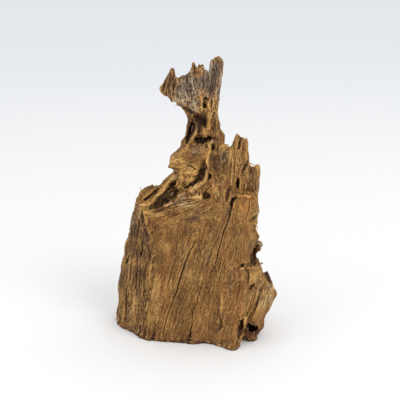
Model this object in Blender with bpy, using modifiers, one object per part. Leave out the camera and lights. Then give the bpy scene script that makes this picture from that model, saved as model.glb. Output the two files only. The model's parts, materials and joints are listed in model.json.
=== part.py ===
# A weathered piece of driftwood that stands upright on its sawn base.
# One block of wood with leaning grain carries a side root, a right-hand spire and a neck,
# and the neck opens into a flat crown with two horns.
# Points are written in millimetres and turned into metres by MM.
# X runs to the right, Y away from the viewer and Z up, with the base on Z = 0.

import math

import bmesh
import bpy
import numpy as np
from mathutils import Matrix, Vector, noise

MM = 0.001

# Driving dimensions, in millimetres: the saw gap, and the voxels that fuse the wood.
SAW_GAP = 0.3
FIRST_FUSE_SIZE = 1.1
FUSE_SIZE = 1.0
WELD_DISTANCE = 0.01

# The grain: ribs that lean to the right as they rise, finer ribs between them, and lumps.
GRAIN_LEAN = math.radians(14)
GRAIN_SPACING = 8.0
GRAIN_LENGTH = 90.0
GRAIN_HEIGHT = 1.05
FINE_RIB_COUNT = 2.3
FINE_RIB_SHARE = 0.5
LUMP_SPACING = 17.0
LUMP_STRETCH = 0.6
LUMP_HEIGHT = 1.2

# Left of this X the ribs grow deeper, over the blend's width.
FLANK_EDGE = -40.0
FLANK_BLEND = 12.0
FLANK_HEIGHT = 1.5

# The upper limbs bend back by this much above a height, swing on through this angle by
# their tops, and turn back to the right of the turn's middle.
SWAY = 6.5
SWAY_FROM = 128.0
SWAY_HEIGHT = 110.0
SWAY_SWING = 3.4
SWAY_TURN = 0.22
SWAY_MIDDLE = 6.0
SWAY_DROP = 0.287

TRIANGLES_IN_ALL = 9000
BASE_TRIM = 60.0
BASE_TRIM_WIDTH = 400.0
CRUMB_FACES = 30

# The block's outline at five heights, followed round the block from its back left corner
# to the front and back again by the right-hand side.
BLOCK_LEVELS = (-6, 36, 78, 102, 126)
BLOCK_RAILS = (
    ((-70.3, 29), (-66.6, 24), (-57.6, 18), (-52.0, 12), (-44.5, 6)),
    ((-67.6, 13.5), (-64.6, 11.5), (-56.2, 9), (-51.2, 6), (-44.5, 2)),
    ((-57.5, -3), (-54.5, -4), (-49.0, -3), (-46.5, -2.5), (-43.0, -3)),
    ((-43.0, -20.5), (-41.0, -21.5), (-37.0, -19.5), (-39.5, -13), (-40.5, -6)),
    ((-28.4, -25), (-27.0, -27.5), (-25.0, -24.5), (-25.5, -19), (-25.0, -11)),
    ((-11.3, -27.8), (-11.0, -30.5), (-10.8, -28), (-10.5, -23), (-10.5, -17)),
    ((15.0, -29.7), (18.0, -34), (18.0, -32.5), (20.0, -27.5), (20.5, -20)),
    ((29.9, -41.3), (34.0, -37), (35.0, -31), (36.0, -25.5), (35.0, -17)),
    ((36.5, -39.5), (43.5, -34), (46.5, -23), (52.8, -17), (52.5, -11)),
    ((38.5, -27.8), (43.0, -22), (49.0, -14), (53.6, -8), (53.0, -3)),
    ((43.0, -8), (46.0, -6), (51.0, -2), (53.8, 1), (53.0, 4)),
    ((46.0, 12), (48.0, 13), (51.0, 13), (51.5, 13), (49.0, 12)),
    ((41.0, 31), (42.0, 31), (43.0, 28), (42.5, 24), (39.0, 18)),
    ((14.0, 40.5), (16.0, 40), (17.0, 36), (17.5, 31), (17.0, 22)),
    ((-17.0, 41.5), (-14.0, 40), (-9.0, 35), (-6.5, 30), (-6.0, 20)),
    ((-45.0, 40.5), (-40.0, 37), (-33.0, 31), (-29.0, 25), (-25.0, 15)),
    ((-62.0, 37.5), (-57.0, 33), (-48.0, 27), (-43.0, 20), (-36.0, 12)),
)

# The side root's outline at six heights, from its inner front edge round by the right.
ROOT_LEVELS = (-6, 14, 28, 41, 56, 68)
ROOT_RAILS = (
    ((40, -26), (41, -28), (43, -30), (44, -31), (43, -31), (41, -30)),
    ((48, -27), (50, -28), (53, -29), (55, -28), (52, -27), (49, -26)),
    ((55, -22), (58, -22), (63, -21), (66, -19), (59, -19), (55, -18)),
    ((57.5, -12), (60.5, -11), (66.5, -9), (70.3, -8), (61, -10), (56.5, -10)),
    ((55, 3), (57, 5), (62, 7), (64.5, 8), (59, 6), (55, 4)),
    ((47, 12), (48, 14), (51, 16), (53, 16), (51, 13), (49, 11)),
    ((36, 6), (36, 6), (38, 6), (40, 6), (40, 6), (40, 6)),
    ((34, -12), (34, -12), (36, -12), (38, -12), (38, -12), (38, -12)),
)

# Flat shapes: an outline of (x, z), the front and back Y, and how far the edges are rounded.
SHOULDER = (
    (-45, 104), (-46.7, 120.6), (-41.6, 125), (-36.5, 128.2), (-32.3, 129.4), (-27.2, 132.3),
    (-21.3, 137.6), (-17.5, 142.5), (-8, 147), (-4, 108),
)
BREAST = (
    (-14, 108), (-12.5, 127), (-7, 131), (-1, 137), (8, 142), (29, 141), (31, 108),
)
LUMP = (
    (-19.5, 149.2), (-18.9, 155.2), (-14.8, 160.6), (-8.2, 165.2), (-6, 169), (9, 171), (12, 158),
    (9.5, 150), (8, 142), (1, 138), (-8.6, 136.5), (-13, 141), (-12, 147), (-16.6, 147.2),
)
PANEL = (
    (9, 118), (11, 147), (11.2, 156), (11.6, 163), (15, 166), (20.5, 163.5), (25.1, 166.2),
    (29.9, 162.7), (30, 145), (31, 118),
)
NECK = (
    (-7, 155), (-9.4, 163.9), (-9.2, 167.3), (-7.5, 169.8), (-5.1, 171.6), (-4.6, 174), (-4.2, 182),
    (-4.9, 188.6), (-5.7, 192), (-3, 197), (6, 202), (19, 206), (20.4, 193.5), (21.3, 186.2),
    (21.8, 180.3), (23.9, 177), (26.6, 174.2), (26.4, 170.2), (25.8, 166.4), (28.5, 162.5), (26, 152),
)
CROWN = (
    (-26.5, 212), (-25.9, 214), (-22.6, 217.1), (-20.1, 222.5), (-15.6, 228.4), (-14.3, 219.8),
    (-12.9, 218.6), (-7.2, 222.1), (-4, 224.1), (-1.9, 227.4), (-0.9, 232), (0.7, 232.4),
    (2.2, 227.8), (4.4, 231.2), (8.3, 231.2), (9.6, 227.8), (10.8, 225.2), (13, 225), (14.3, 231.8),
    (15, 234.8), (17, 236.1), (19.3, 238), (22.5, 236.8), (23.9, 233.8), (23.8, 229.8), (23, 222.5),
    (22.3, 214.4), (21.5, 207.5), (20.8, 199.3), (20.4, 190), (-4.9, 188.6), (-5.7, 192),
    (-7.3, 195.2), (-9.8, 198.5), (-13, 199.2), (-14.6, 202), (-18.7, 203), (-19.9, 205), (-23.2, 206.3),
)
SPIRE = (
    (28, 134), (29.2, 158), (29.7, 161.8), (32.1, 166), (33.9, 169), (34.8, 174.2), (36.6, 174.2),
    (37.8, 171.4), (39.6, 172.6), (44.2, 171.8), (45.3, 165.2), (46.4, 151.6), (44, 130), (30, 124),
)
BACK_SLAB = (
    (34, 112), (38, 151), (42.2, 150.8), (46.5, 149.8), (49.2, 147.4), (53.4, 147.2), (56.3, 145),
    (56.2, 141.6), (54.7, 133.2), (55.2, 130.7), (54, 124.1), (53.2, 112),
)
PLATE = (
    (30, 100), (30.5, 124), (35.9, 126.6), (42.7, 127.2), (53.1, 125.2), (54.2, 114.3), (53.4, 109),
    (54.4, 98), (40, 96),
)

# Round limbs: points of (x, y, z, radius) along each one.
BACK_SPUR = ((7, 5, 176, 8), (8, 9, 158, 12), (8, 13, 138, 15), (6, 15, 115, 18), (4, 16, 90, 20))
LEFT_SPUR = ((-20, 6, 136, 4), (-28, 10, 122, 8), (-34, 14, 104, 12), (-38, 16, 84, 14))
RIGHT_COLUMN = (
    (18, 1, 160, 8), (15, 1, 185, 6), (15.8, 0, 205, 5.2), (17.4, -1, 221, 4.8), (18.8, -1, 232.6, 4.1),
)
LEFT_HORN = ((-14, -2, 203, 4.6), (-19.6, -3, 210, 5.2), (-19, -3, 217, 3.8), (-16.2, -3, 226, 1.5))
LUMP_FACE = ((-8, -10, 158, 7), (-4, -11, 152, 9), (0, -11, 148, 8))
LUMP_LIP = ((-17.8, -7, 150.8, 2.2), (-11, -13, 150, 3.6), (-4, -15.5, 149.5, 4.2), (3, -15.5, 147, 4))
ROOT_PRONG = ((61, -4, 57.5, 1.9), (62.6, -4, 51, 2.7), (64, -4, 42, 4.5))
RIGHT_STUB = ((49, 6, 72, 5), (54, 1, 77.5, 3.6), (58.6, -3, 79.5, 2.2))
LOWER_STUB = ((50, 2, 62, 4), (55, -1, 62, 3), (58.8, -3, 63.6, 1.6))
ROOT_RIDGE = ((47, -27, 2, 3), (50.5, -29, 18, 3.5), (56, -28, 34, 4), (58, -25, 47, 3))
CROWN_RIB = ((10, 6, 176, 5), (6, 5, 192, 5), (0, 3, 206, 4.5), (-4, 2, 219, 2.6))
CROWN_SWELLING = ((-16, -1, 209, 5), (-8, -3, 210, 6), (2, -3, 213, 6), (8, -2, 222, 5))
SPIRE_RIB = ((36, 6, 128, 7), (38, 3, 148, 5), (39, -1, 164, 3.4))
BACK_SHOULDER = ((38, 14, 118, 9), (30, 16, 134, 8), (22, 12, 150, 7), (16, 8, 164, 6))

# Hollows: the same kind of list, each stretched in depth by the number given with it.
HOLLOWS = (
    ("trough", 2.0, ((-36.5, -15, 116, 3.4), (-29.5, -14, 120.5, 4.8), (-21.5, -13, 126.5, 5.0),
                     (-15.5, -11, 134, 3.0))),
    ("trough mouth", 1.4, ((-38, -20, 113, 2.4), (-30, -24, 115.5, 3.2), (-23, -24, 121, 2.6))),
    ("upper slit", 3.0, ((-41, -7, 119.5, 0.9), (-32.7, -7, 127, 1.5), (-25, -6, 134, 1.1))),
    ("notch", 2.4, ((-24, -8, 143, 2.0), (-18.8, -6, 145.5, 1.6), (-14.5, -8, 144.5, 1.2))),
    ("lump crease", 1.6, ((-19, -14, 147.5, 1.4), (-12, -19, 146, 1.8), (-9.5, -20, 140, 1.6),
                          (-10, -20, 135, 1.2))),
    ("long hollow", 2.4, ((9.9, -15, 160, 1.0), (9.2, -15, 151, 2.6), (6.6, -17, 145, 4.0),
                          (0.8, -18, 139.6, 2.9), (-3, -19, 137, 2.6), (-7, -19, 134, 2.4),
                          (-9.5, -19, 130, 1.6))),
    ("pocket", 2.5, ((13.4, -18, 148, 1.0), (13.6, -20, 142, 1.9))),
    ("pit", 3.2, ((10.2, -22, 131.2, 1.8), (10.6, -22, 128, 3.1), (11.2, -22, 124.8, 1.8))),
    ("neck left hollow", 3.2, ((0.8, -6, 187, 1.7), (-1.6, -6, 178, 2.5), (-3.2, -6, 172, 2.3),
                               (-5.4, -6, 166, 1.2))),
    ("neck cavity", 1.3, ((-0.2, -9, 192, 2.4), (5.5, -9.5, 188, 4.4), (9.4, -9.5, 183.5, 2.8))),
    ("neck hole", 2.4, ((1.8, -13, 170.6, 2.4), (8, -13, 171.2, 3.6), (14, -12, 172.4, 2.4))),
    ("neck slit", 3.4, ((18, -11, 171, 1.3), (16.8, -12, 162, 1.7))),
    ("basin", 1.0, ((19.3, -14.5, 160.5, 5.5), (19.7, -16.5, 151, 7.6), (19, -20, 142, 6.4))),
    ("grey dimple", 1.6, ((25.6, -12, 159, 1.6), (25.9, -12, 154, 2.2))),
    ("crown knot", 2.4, ((10.2, -9, 208, 1.2), (9.8, -9, 205, 2.2), (9.3, -9, 199.5, 2.6),
                         (9, -9, 196.5, 1.4))),
    ("spire pocket", 2.2, ((37.2, -13, 172, 1.4), (38, -13, 163.5, 2.2))),
    ("slot", 3.0, ((36.5, -11, 139, 1.6), (36.5, -13, 131, 1.6))),
    ("crevice", 2.4, ((28.2, -17, 138, 1.0), (28.9, -21, 126, 2.0), (31, -23, 116, 1.2))),
    ("plate crevice", 1.8, ((32.5, -16, 129.5, 2.4), (39, -14, 130, 1.6), (47, -11, 130, 1.2))),
    ("right recess", 1.7, ((60, -17, 93, 2.0), (57, -17, 85, 4.6), (52.5, -17, 77.5, 5.4),
                           (47.5, -20, 72.5, 3.2))),
    ("knot hole", 3.4, ((49.4, -27, 18.5, 1.8), (50, -27, 13, 4.4), (49.8, -27, 8, 1.8))),
    ("flange slit", 3.6, ((40.8, -36, 26, 1.8), (39.4, -37, 18, 2.9), (37.4, -38, 8, 1.6))),
    ("flange step", 1.2, ((28, -46, 27, 1.6), (35, -47, 25.5, 3.0), (42, -44, 25, 2.6))),
    ("base notch", 2.0, ((21.8, -38, 27, 1.4), (22.2, -38, 18, 2.2))),
    ("root cleft", 2.4, ((43.4, -33, 68, 1.0), (44.8, -33, 58, 1.8), (46.6, -33, 47, 1.2))),
    ("root pocket", 2.0, ((51.8, -30, 56, 1.0), (50.6, -30, 49, 1.8))),
    ("root furrow", 1.4, ((52, -31, 42, 1.0), (48, -31, 28, 1.6), (45, -31, 16, 1.4))),
    ("flank furrow", 1.5, ((-53, -14, 4, 2.0), (-50, -12, 45, 2.4), (-46.5, -10, 88, 1.6))),
    ("flank slit", 1.6, ((-66.5, 4, 16, 1.8), (-61, 2, 55, 2.4), (-54, 0, 92, 1.4))),
    ("back furrow", 1.6, ((-30, 46, -2, 3.2), (-24, 43, 40, 4), (-14, 37, 84, 3.4), (-8, 30, 118, 2))),
    ("back cleft", 2.2, ((6, 46, 20, 1.6), (11, 42, 60, 2.8), (17, 35, 100, 2.2), (20, 27, 128, 1.2))),
    ("back hollow", 1.6, ((-3, 26, 152, 3), (0, 31, 132, 6), (2, 35, 116, 3.5))),
    ("back right furrow", 1.4, ((30, 42, -2, 2.6), (33, 39, 45, 3.4), (35, 33, 90, 2.2))),
    ("back left furrow", 1.4, ((-58, 41, 0, 2.6), (-50, 36, 42, 3.2), (-41, 28, 84, 2.0))),
    ("right furrow", 2.0, ((52, 8, 60, 1.6), (55, 9, 96, 2.2), (57, 9, 124, 1.4))),
    ("neck back hollow", 1.3, ((4, 18, 174, 2.2), (5, 15, 186, 3.0), (5, 12, 197, 2.0))),
)

# Raised edges that stand in or beside the hollows.
RIDGES = (
    ("hollow ridge", ((11.6, -12, 165.5, 1.3), (11.8, -14, 156.4, 1.6), (11.7, -17, 147.8, 1.9),
                      (9, -19.5, 142.6, 2.2), (4.1, -21, 138.6, 2.4), (-0.6, -21.5, 135.6, 2.6),
                      (-3.6, -21.5, 132.4, 2.6), (-8, -21, 129.4, 2.2), (-13, -19.5, 128, 1.6))),
    ("fold strip", ((-42.5, -10, 116.5, 2.2), (-36, -11.5, 121.5, 1.9), (-28, -11.5, 128.6, 1.8),
                    (-20, -9.5, 136.4, 2.0), (-14.5, -9, 143, 2.4))),
    ("rim strip", ((-43.5, -5, 121, 2.0), (-36, -4, 127, 1.8), (-28, -2, 131.5, 1.8))),
    ("front lip", ((-24.5, -18.5, 117.6, 1.2), (-19, -20, 121.8, 1.9), (-13, -20, 126.6, 2.0))),
    ("trough strand", ((-21, -12, 120.5, 1.1), (-19.5, -12, 127, 1.2), (-18, -11, 134, 1.2))),
    ("neck left ridge", ((2.2, -8, 186, 1.8), (0.2, -9.5, 176, 1.9), (-2.7, -10.5, 170.5, 2.0),
                         (-6, -12, 165.5, 2.4), (-9, -12, 160, 3))),
    ("neck right ridge", ((12.9, -8.5, 192, 1.6), (11.8, -10.5, 183.3, 1.6), (11.6, -10.5, 177, 1.8))),
    ("neck tongue", ((7.6, -9, 183, 1.6), (7.8, -10, 178, 2.4), (8.6, -10, 175.5, 1.6))),
    ("spike", ((15.4, -10, 173, 0.9), (14.2, -11.5, 168, 1.4), (12, -12.5, 163.5, 1.8))),
    ("flange lip", ((44.6, -35.5, 28.5, 1.4), (42.6, -37.5, 16, 1.2), (38.4, -40, 0, 1.5))),
    ("left wall", ((-5.2, 2, 190, 1.6), (-4.4, 0, 180, 1.4), (-5.4, -1, 171.5, 1.6))),
)

# Saw lines that part the limbs from each other: points of (x, z) joined by straight cuts
# that run through the whole depth, and for the root a depth at which a cross cut ends them.
SAW_LINES = (
    ("root cut", ((33, -8), (38.6, 14), (43.2, 40), (41.2, 70.4), (80, 70.4)), 18),
    ("neck cut", ((-34, 170), (-6, 168), (27.2, 160.5), (27.2, 200)), None),
    ("spire cut", ((27.9, 190), (27.9, 154), (47.2, 141.5), (47.2, 190)), None),
    ("crown cut", ((-30, 186.5), (40, 191.5)), None),
    ("left horn cut", ((-16.5, 190), (-12, 240)), None),
    ("right horn cut", ((11.4, 250), (11.4, 224), (40, 214)), None),
)
SAW_DEPTH = 140.0

# A point inside each limb, and its colour and roughness.
LIMBS = {
    "trunk": ((0, 0, 60), (0.242, 0.126, 0.046), 0.82),
    "side_root": ((54, -8, 30), (0.285, 0.148, 0.056), 0.80),
    "right_spire": ((38, 0, 160), (0.232, 0.120, 0.038), 0.82),
    "neck": ((17, 0, 175), (0.246, 0.128, 0.042), 0.80),
    "crown": ((0, 0, 210), (0.202, 0.133, 0.086), 0.86),
    "left_horn": ((-19, -2, 212), (0.186, 0.104, 0.052), 0.84),
    "right_horn": ((19, -1, 228), (0.196, 0.136, 0.094), 0.86),
}


def clear_scene():
    for old in list(bpy.data.objects):
        bpy.data.objects.remove(old, do_unlink=True)


def new_collection(name):
    collection = bpy.data.collections.new(name)
    bpy.context.scene.collection.children.link(collection)
    return collection


def object_from_bmesh(name, mesh_in_progress):
    mesh = bpy.data.meshes.new(name)
    mesh_in_progress.to_mesh(mesh)
    mesh_in_progress.free()
    made = bpy.data.objects.new(name, mesh)
    bpy.context.scene.collection.objects.link(made)
    return made


def as_mesh_object(source):
    """The object as its modifiers or bevel leave it, with its place in its mesh."""
    graph = bpy.context.evaluated_depsgraph_get()
    mesh = bpy.data.meshes.new_from_object(source.evaluated_get(graph))
    mesh.transform(source.matrix_world)
    name = source.name
    bpy.data.objects.remove(source, do_unlink=True)
    welded = bmesh.new()
    welded.from_mesh(mesh)
    bmesh.ops.remove_doubles(welded, verts=welded.verts, dist=WELD_DISTANCE * MM)
    bmesh.ops.recalc_face_normals(welded, faces=welded.faces)
    return object_from_bmesh(name, welded)


def on_curve(before, start, end, after, share):
    """A point on the smooth curve between start and end, as numpy vectors."""
    return 0.5 * (
        2 * start
        + (end - before) * share
        + (2 * before - 5 * start + 4 * end - after) * share**2
        + (3 * start - before - 3 * end + after) * share**3
    )


def smooth_ring(points, steps):
    points = np.array(points, float)
    count = len(points)
    ring = []
    for i in range(count):
        around = [points[(i + k) % count] for k in (-1, 0, 1, 2)]
        ring += [on_curve(*around, step / steps) for step in range(steps)]
    return np.array(ring)


def lofted(name, levels, rails, steps=3):
    """A closed skin over outlines of (x, y) that stand one above the other."""
    heights = np.array(levels, float)
    outlines = [smooth_ring([rail[k] for rail in rails], steps) for k in range(len(levels))]
    rings = [np.column_stack([ring, np.full(len(ring), z)]) for ring, z in zip(outlines, heights)]
    stacked = []
    last = len(rings) - 1
    for i in range(last):
        around = [rings[min(max(i + k, 0), last)] for k in (-1, 0, 1, 2)]
        stacked += [on_curve(*around, step / steps) for step in range(steps)]
    stacked.append(rings[last])
    skin = bmesh.new()
    rows = [[skin.verts.new(Vector(point) * MM) for point in ring] for ring in stacked]
    for lower, upper in zip(rows, rows[1:]):
        for i in range(len(lower)):
            after = (i + 1) % len(lower)
            skin.faces.new((lower[i], lower[after], upper[after], upper[i]))
    skin.faces.new(rows[0])
    skin.faces.new(rows[-1])
    bmesh.ops.recalc_face_normals(skin, faces=skin.faces)
    return object_from_bmesh(name, skin)


def slab(name, outline, front, back, rounding, lean=0.0, turn=0.0, thin_top=1.0):
    """A flat piece with this (x, z) outline between two depths.

    It leans back by lean and swings back to the right by turn, in millimetres a millimetre
    about its own middle, and it thins to thin_top of its depth at its top."""
    curve = bpy.data.curves.new(name, "CURVE")
    curve.dimensions = "2D"
    curve.fill_mode = "BOTH"
    curve.extrude = (0.5 * (back - front) - rounding) * MM
    curve.bevel_depth = rounding * MM
    curve.bevel_resolution = 2
    curve.offset = -rounding * MM
    spline = curve.splines.new("POLY")
    spline.points.add(len(outline) - 1)
    for point, (x, z) in zip(spline.points, outline):
        point.co = (x * MM, z * MM, 0, 1)
    spline.use_cyclic_u = True
    made = bpy.data.objects.new(name, curve)
    made.matrix_world = Matrix.Rotation(math.radians(90), 4, "X")
    bpy.context.scene.collection.objects.link(made)
    bpy.context.view_layer.update()
    made = as_mesh_object(made)

    low = min(z for x, z in outline) * MM
    high = max(z for x, z in outline) * MM
    across = 0.5 * (min(x for x, z in outline) + max(x for x, z in outline)) * MM
    for vertex in made.data.vertices:
        x, y, z = vertex.co
        thinned = y * (1 + (thin_top - 1) * (z - low) / (high - low))
        leaned = lean * (z - 0.5 * (low + high)) + turn * (x - across)
        vertex.co.y = thinned + leaned + 0.5 * (front + back) * MM
    return made


def limb(name, points, stretch=1.0):
    """A round limb along points of (x, y, z, radius), stretched in depth about its own line."""
    middle = sum(point[1] for point in points) / len(points)
    curve = bpy.data.curves.new(name, "CURVE")
    curve.dimensions = "3D"
    curve.bevel_depth = MM
    curve.bevel_resolution = 3
    curve.resolution_u = 5
    curve.use_fill_caps = True
    spline = curve.splines.new("BEZIER")
    spline.bezier_points.add(len(points) - 1)
    for knot, (x, y, z, radius) in zip(spline.bezier_points, points):
        knot.co = (x * MM, (y - middle) / stretch * MM, z * MM)
        knot.radius = radius
        knot.handle_left_type = "AUTO"
        knot.handle_right_type = "AUTO"
    made = bpy.data.objects.new(name, curve)
    made.matrix_world = Matrix.Translation((0, middle * MM, 0)) @ Matrix.Diagonal((1, stretch, 1, 1))
    bpy.context.scene.collection.objects.link(made)
    bpy.context.view_layer.update()
    return as_mesh_object(made)


def joined(name, pieces):
    whole = bmesh.new()
    for piece in pieces:
        whole.from_mesh(piece.data)
        bpy.data.objects.remove(piece, do_unlink=True)
    return object_from_bmesh(name, whole)


def with_modifier(target, kind, **settings):
    """The object with one modifier applied."""
    modifier = target.modifiers.new(kind.lower(), kind)
    for key, value in settings.items():
        setattr(modifier, key, value)
    bpy.context.view_layer.update()
    graph = bpy.context.evaluated_depsgraph_get()
    mesh = bpy.data.meshes.new_from_object(target.evaluated_get(graph))
    target.modifiers.clear()
    target.data = mesh
    return target


def fused(name, pieces, size):
    """The pieces grown together into one skin."""
    whole = joined(name, pieces)
    return with_modifier(whole, "REMESH", mode="VOXEL", voxel_size=size * MM, adaptivity=0)


def grain_height(x, y, z):
    """How far the weathered surface stands out here, in millimetres."""
    across = (x - z * math.tan(GRAIN_LEAN)) / GRAIN_SPACING
    place = Vector((across, y / GRAIN_SPACING, z / GRAIN_LENGTH))
    ribs = noise.noise(place) + FINE_RIB_SHARE * noise.noise(FINE_RIB_COUNT * place)
    lumps = noise.noise(Vector((x, y, LUMP_STRETCH * z)) / LUMP_SPACING)
    on_flank = min(max((FLANK_EDGE - x) / FLANK_BLEND, 0), 1)
    return (GRAIN_HEIGHT + on_flank * FLANK_HEIGHT) * ribs + LUMP_HEIGHT * lumps


def swayed(wood):
    """The wood with its upper limbs bent back, then forward again, and turned as they rise."""
    for vertex in wood.data.vertices:
        x, y, z = vertex.co / MM
        rise = min(max((z - SWAY_FROM) / SWAY_HEIGHT, 0), 1)
        back = rise * (SWAY * math.cos(SWAY_SWING * rise) + SWAY_TURN * (x - SWAY_MIDDLE))
        vertex.co.y += back * MM
        vertex.co.z -= back * SWAY_DROP * MM
    wood.data.update()
    return wood


def weathered(wood):
    """The wood with its skin moved in and out by the height of the grain."""
    mesh = wood.data
    count = len(mesh.vertices)
    places = np.empty(3 * count, np.float32)
    normals = np.empty(3 * count, np.float32)
    mesh.vertices.foreach_get("co", places)
    mesh.vertices.foreach_get("normal", normals)
    places = places.reshape(-1, 3)
    heights = np.array([grain_height(*(place / MM)) for place in places.astype(float)])
    places += (normals.reshape(-1, 3) * heights[:, None] * MM).astype(np.float32)
    mesh.vertices.foreach_set("co", places.ravel())
    mesh.update()
    return wood


def block_below_base():
    bpy.ops.mesh.primitive_cube_add(size=1)
    base = bpy.context.object
    base.name = "base trim"
    size = Vector((BASE_TRIM_WIDTH, BASE_TRIM_WIDTH, BASE_TRIM)) * MM
    base.matrix_world = Matrix.Translation((0, 0, -0.5 * size.z)) @ Matrix.Diagonal((*size, 1))
    bpy.context.view_layer.update()
    return as_mesh_object(base)


def saw_blade(name, line, cross_cut):
    """A thin upright blade that follows the line from the front to the cross cut or the back."""
    blade = bmesh.new()
    back = 0.5 * SAW_DEPTH if cross_cut is None else cross_cut
    near = [blade.verts.new((x * MM, -0.5 * SAW_DEPTH * MM, z * MM)) for x, z in line]
    far = [blade.verts.new((x * MM, back * MM, z * MM)) for x, z in line]
    for i in range(len(line) - 1):
        blade.faces.new((near[i], near[i + 1], far[i + 1], far[i]))
    if cross_cut is not None:
        corner = blade.verts.new((line[-1][0] * MM, back * MM, line[0][1] * MM))
        blade.faces.new(far + [corner])
    made = object_from_bmesh(name, blade)
    return with_modifier(made, "SOLIDIFY", thickness=SAW_GAP * MM, offset=0, use_even_offset=True)


def cut(wood, cutter):
    return with_modifier(wood, "BOOLEAN", operation="DIFFERENCE", solver="EXACT", object=cutter)


def kept_as_helper(cutter, cutters):
    for holder in list(cutter.users_collection):
        holder.objects.unlink(cutter)
    cutters.objects.link(cutter)
    cutter.hide_render = True
    cutter.display_type = "WIRE"


def wood_material(name, colour, roughness):
    material = bpy.data.materials.new(name)
    material.use_nodes = True
    shader = material.node_tree.nodes["Principled BSDF"]
    shader.inputs["Base Color"].default_value = (*colour, 1)
    shader.inputs["Roughness"].default_value = roughness
    shader.inputs["Metallic"].default_value = 0
    return material


def loose_parts(wood):
    """The separate bodies of a mesh, as lists of faces."""
    whole = bmesh.new()
    whole.from_mesh(wood.data)
    whole.faces.ensure_lookup_table()
    seen = set()
    bodies = []
    for start in whole.faces:
        if start.index in seen:
            continue
        body = []
        waiting = [start]
        seen.add(start.index)
        while waiting:
            face = waiting.pop()
            body.append(face.index)
            for edge in face.edges:
                for other in edge.link_faces:
                    if other.index not in seen:
                        seen.add(other.index)
                        waiting.append(other)
        bodies.append(body)
    whole.free()
    return bodies


def part_from_faces(wood, name, faces):
    kept = set(faces)
    copy = bmesh.new()
    copy.from_mesh(wood.data)
    copy.faces.ensure_lookup_table()
    spare = [face for face in copy.faces if face.index not in kept]
    bmesh.ops.delete(copy, geom=spare, context="FACES")
    bmesh.ops.triangulate(copy, faces=copy.faces)
    return object_from_bmesh(name, copy)


def main_body(wood):
    """The wood without any splinter that stands free of it."""
    largest = part_from_faces(wood, wood.name, max(loose_parts(wood), key=len))
    bpy.data.objects.remove(wood, do_unlink=True)
    return largest


def sawn_apart(wood, blade):
    """The bodies that the blade leaves, without crumbs."""
    cut(wood, blade)
    bodies = [faces for faces in loose_parts(wood) if len(faces) > CRUMB_FACES]
    parts = [part_from_faces(wood, wood.name, faces) for faces in bodies]
    bpy.data.objects.remove(wood, do_unlink=True)
    return parts


def centre_of(part):
    return sum((vertex.co for vertex in part.data.vertices), Vector()) / len(part.data.vertices)


def stood_on_origin(parts):
    """Every part moved by one same amount, so that the whole stands centred on the origin."""
    corners = [vertex.co for part in parts for vertex in part.data.vertices]
    low = Vector([min(corner[axis] for corner in corners) for axis in range(3)])
    high = Vector([max(corner[axis] for corner in corners) for axis in range(3)])
    middle = 0.5 * (low + high)
    for part in parts:
        part.data.transform(Matrix.Translation((-middle.x, -middle.y, -low.z)))


def build():
    clear_scene()
    cutters = new_collection("cutters")
    driftwood = new_collection("ebony driftwood")

    wood = [
        lofted("block", BLOCK_LEVELS, BLOCK_RAILS),
        lofted("root", ROOT_LEVELS, ROOT_RAILS),
        slab("shoulder", SHOULDER, -9, 14, 3),
        slab("breast", BREAST, -20, 20, 4, lean=0.22),
        slab("lump", LUMP, -15, 8, 4),
        slab("panel", PANEL, -15, 12, 3, lean=0.2),
        slab("neck", NECK, -8, 12, 3.5, thin_top=0.62),
        slab("crown", CROWN, -6.5, 4.5, 1.2, thin_top=0.62),
        slab("spire", SPIRE, -13, 6, 1.5, lean=0.1, turn=0.1, thin_top=0.5),
        slab("back slab", BACK_SLAB, -2, 15, 2, lean=0.1, turn=0.2, thin_top=0.5),
        slab("plate", PLATE, -19, 4, 2, lean=0.25, turn=0.12),
        limb("back spur", BACK_SPUR, 0.8),
        limb("left spur", LEFT_SPUR),
        limb("right column", RIGHT_COLUMN),
        limb("left horn", LEFT_HORN, 0.8),
        limb("lump face", LUMP_FACE, 0.9),
        limb("lump lip", LUMP_LIP, 0.7),
        limb("root prong", ROOT_PRONG),
        limb("right stub", RIGHT_STUB),
        limb("lower stub", LOWER_STUB),
        limb("root ridge", ROOT_RIDGE),
        limb("crown rib", CROWN_RIB),
        limb("crown swelling", CROWN_SWELLING, 0.7),
        limb("spire rib", SPIRE_RIB),
        limb("back shoulder", BACK_SHOULDER, 0.8),
    ]
    body = fused("body", wood, FIRST_FUSE_SIZE)
    hollows = [limb(name, points, stretch) for name, stretch, points in HOLLOWS]
    carver = fused("hollows", hollows, FUSE_SIZE)
    cut(body, carver)
    kept_as_helper(carver, cutters)

    ridges = [limb(name, points) for name, points in RIDGES]
    body = main_body(fused("body", [body] + ridges, FUSE_SIZE))
    with_modifier(body, "SMOOTH", factor=0.5, iterations=2)
    swayed(body)
    weathered(body)
    with_modifier(body, "DECIMATE", ratio=TRIANGLES_IN_ALL / len(body.data.polygons))
    base = block_below_base()
    cut(body, base)
    kept_as_helper(base, cutters)

    parts = [body]
    for name, line, cross_cut in SAW_LINES:
        blade = saw_blade(name, line, cross_cut)
        parts = [piece for part in parts for piece in sawn_apart(part, blade)]
        kept_as_helper(blade, cutters)

    stood_on_origin(parts)
    for name, (inside, colour, roughness) in LIMBS.items():
        part = min(parts, key=lambda piece: (centre_of(piece) - Vector(inside) * MM).length)
        parts.remove(part)
        part.name = name
        part.data.name = name
        part.data.materials.append(wood_material(name + " wood", colour, roughness))
        bpy.context.scene.collection.objects.unlink(part)
        driftwood.objects.link(part)


build()
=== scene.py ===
# Ebony driftwood on a pale studio floor.
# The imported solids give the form. One skin is grown over them, carved, grained and split at
# the same forks as they are, and each piece of the skin stands for the solid under it.
# Sizes are in millimetres unless a note says otherwise, and mm turns them into metres.

import json
import math

import bmesh
import bpy
import numpy as np
from mathutils import Euler, Matrix, Vector
from mathutils.bvhtree import BVHTree

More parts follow.
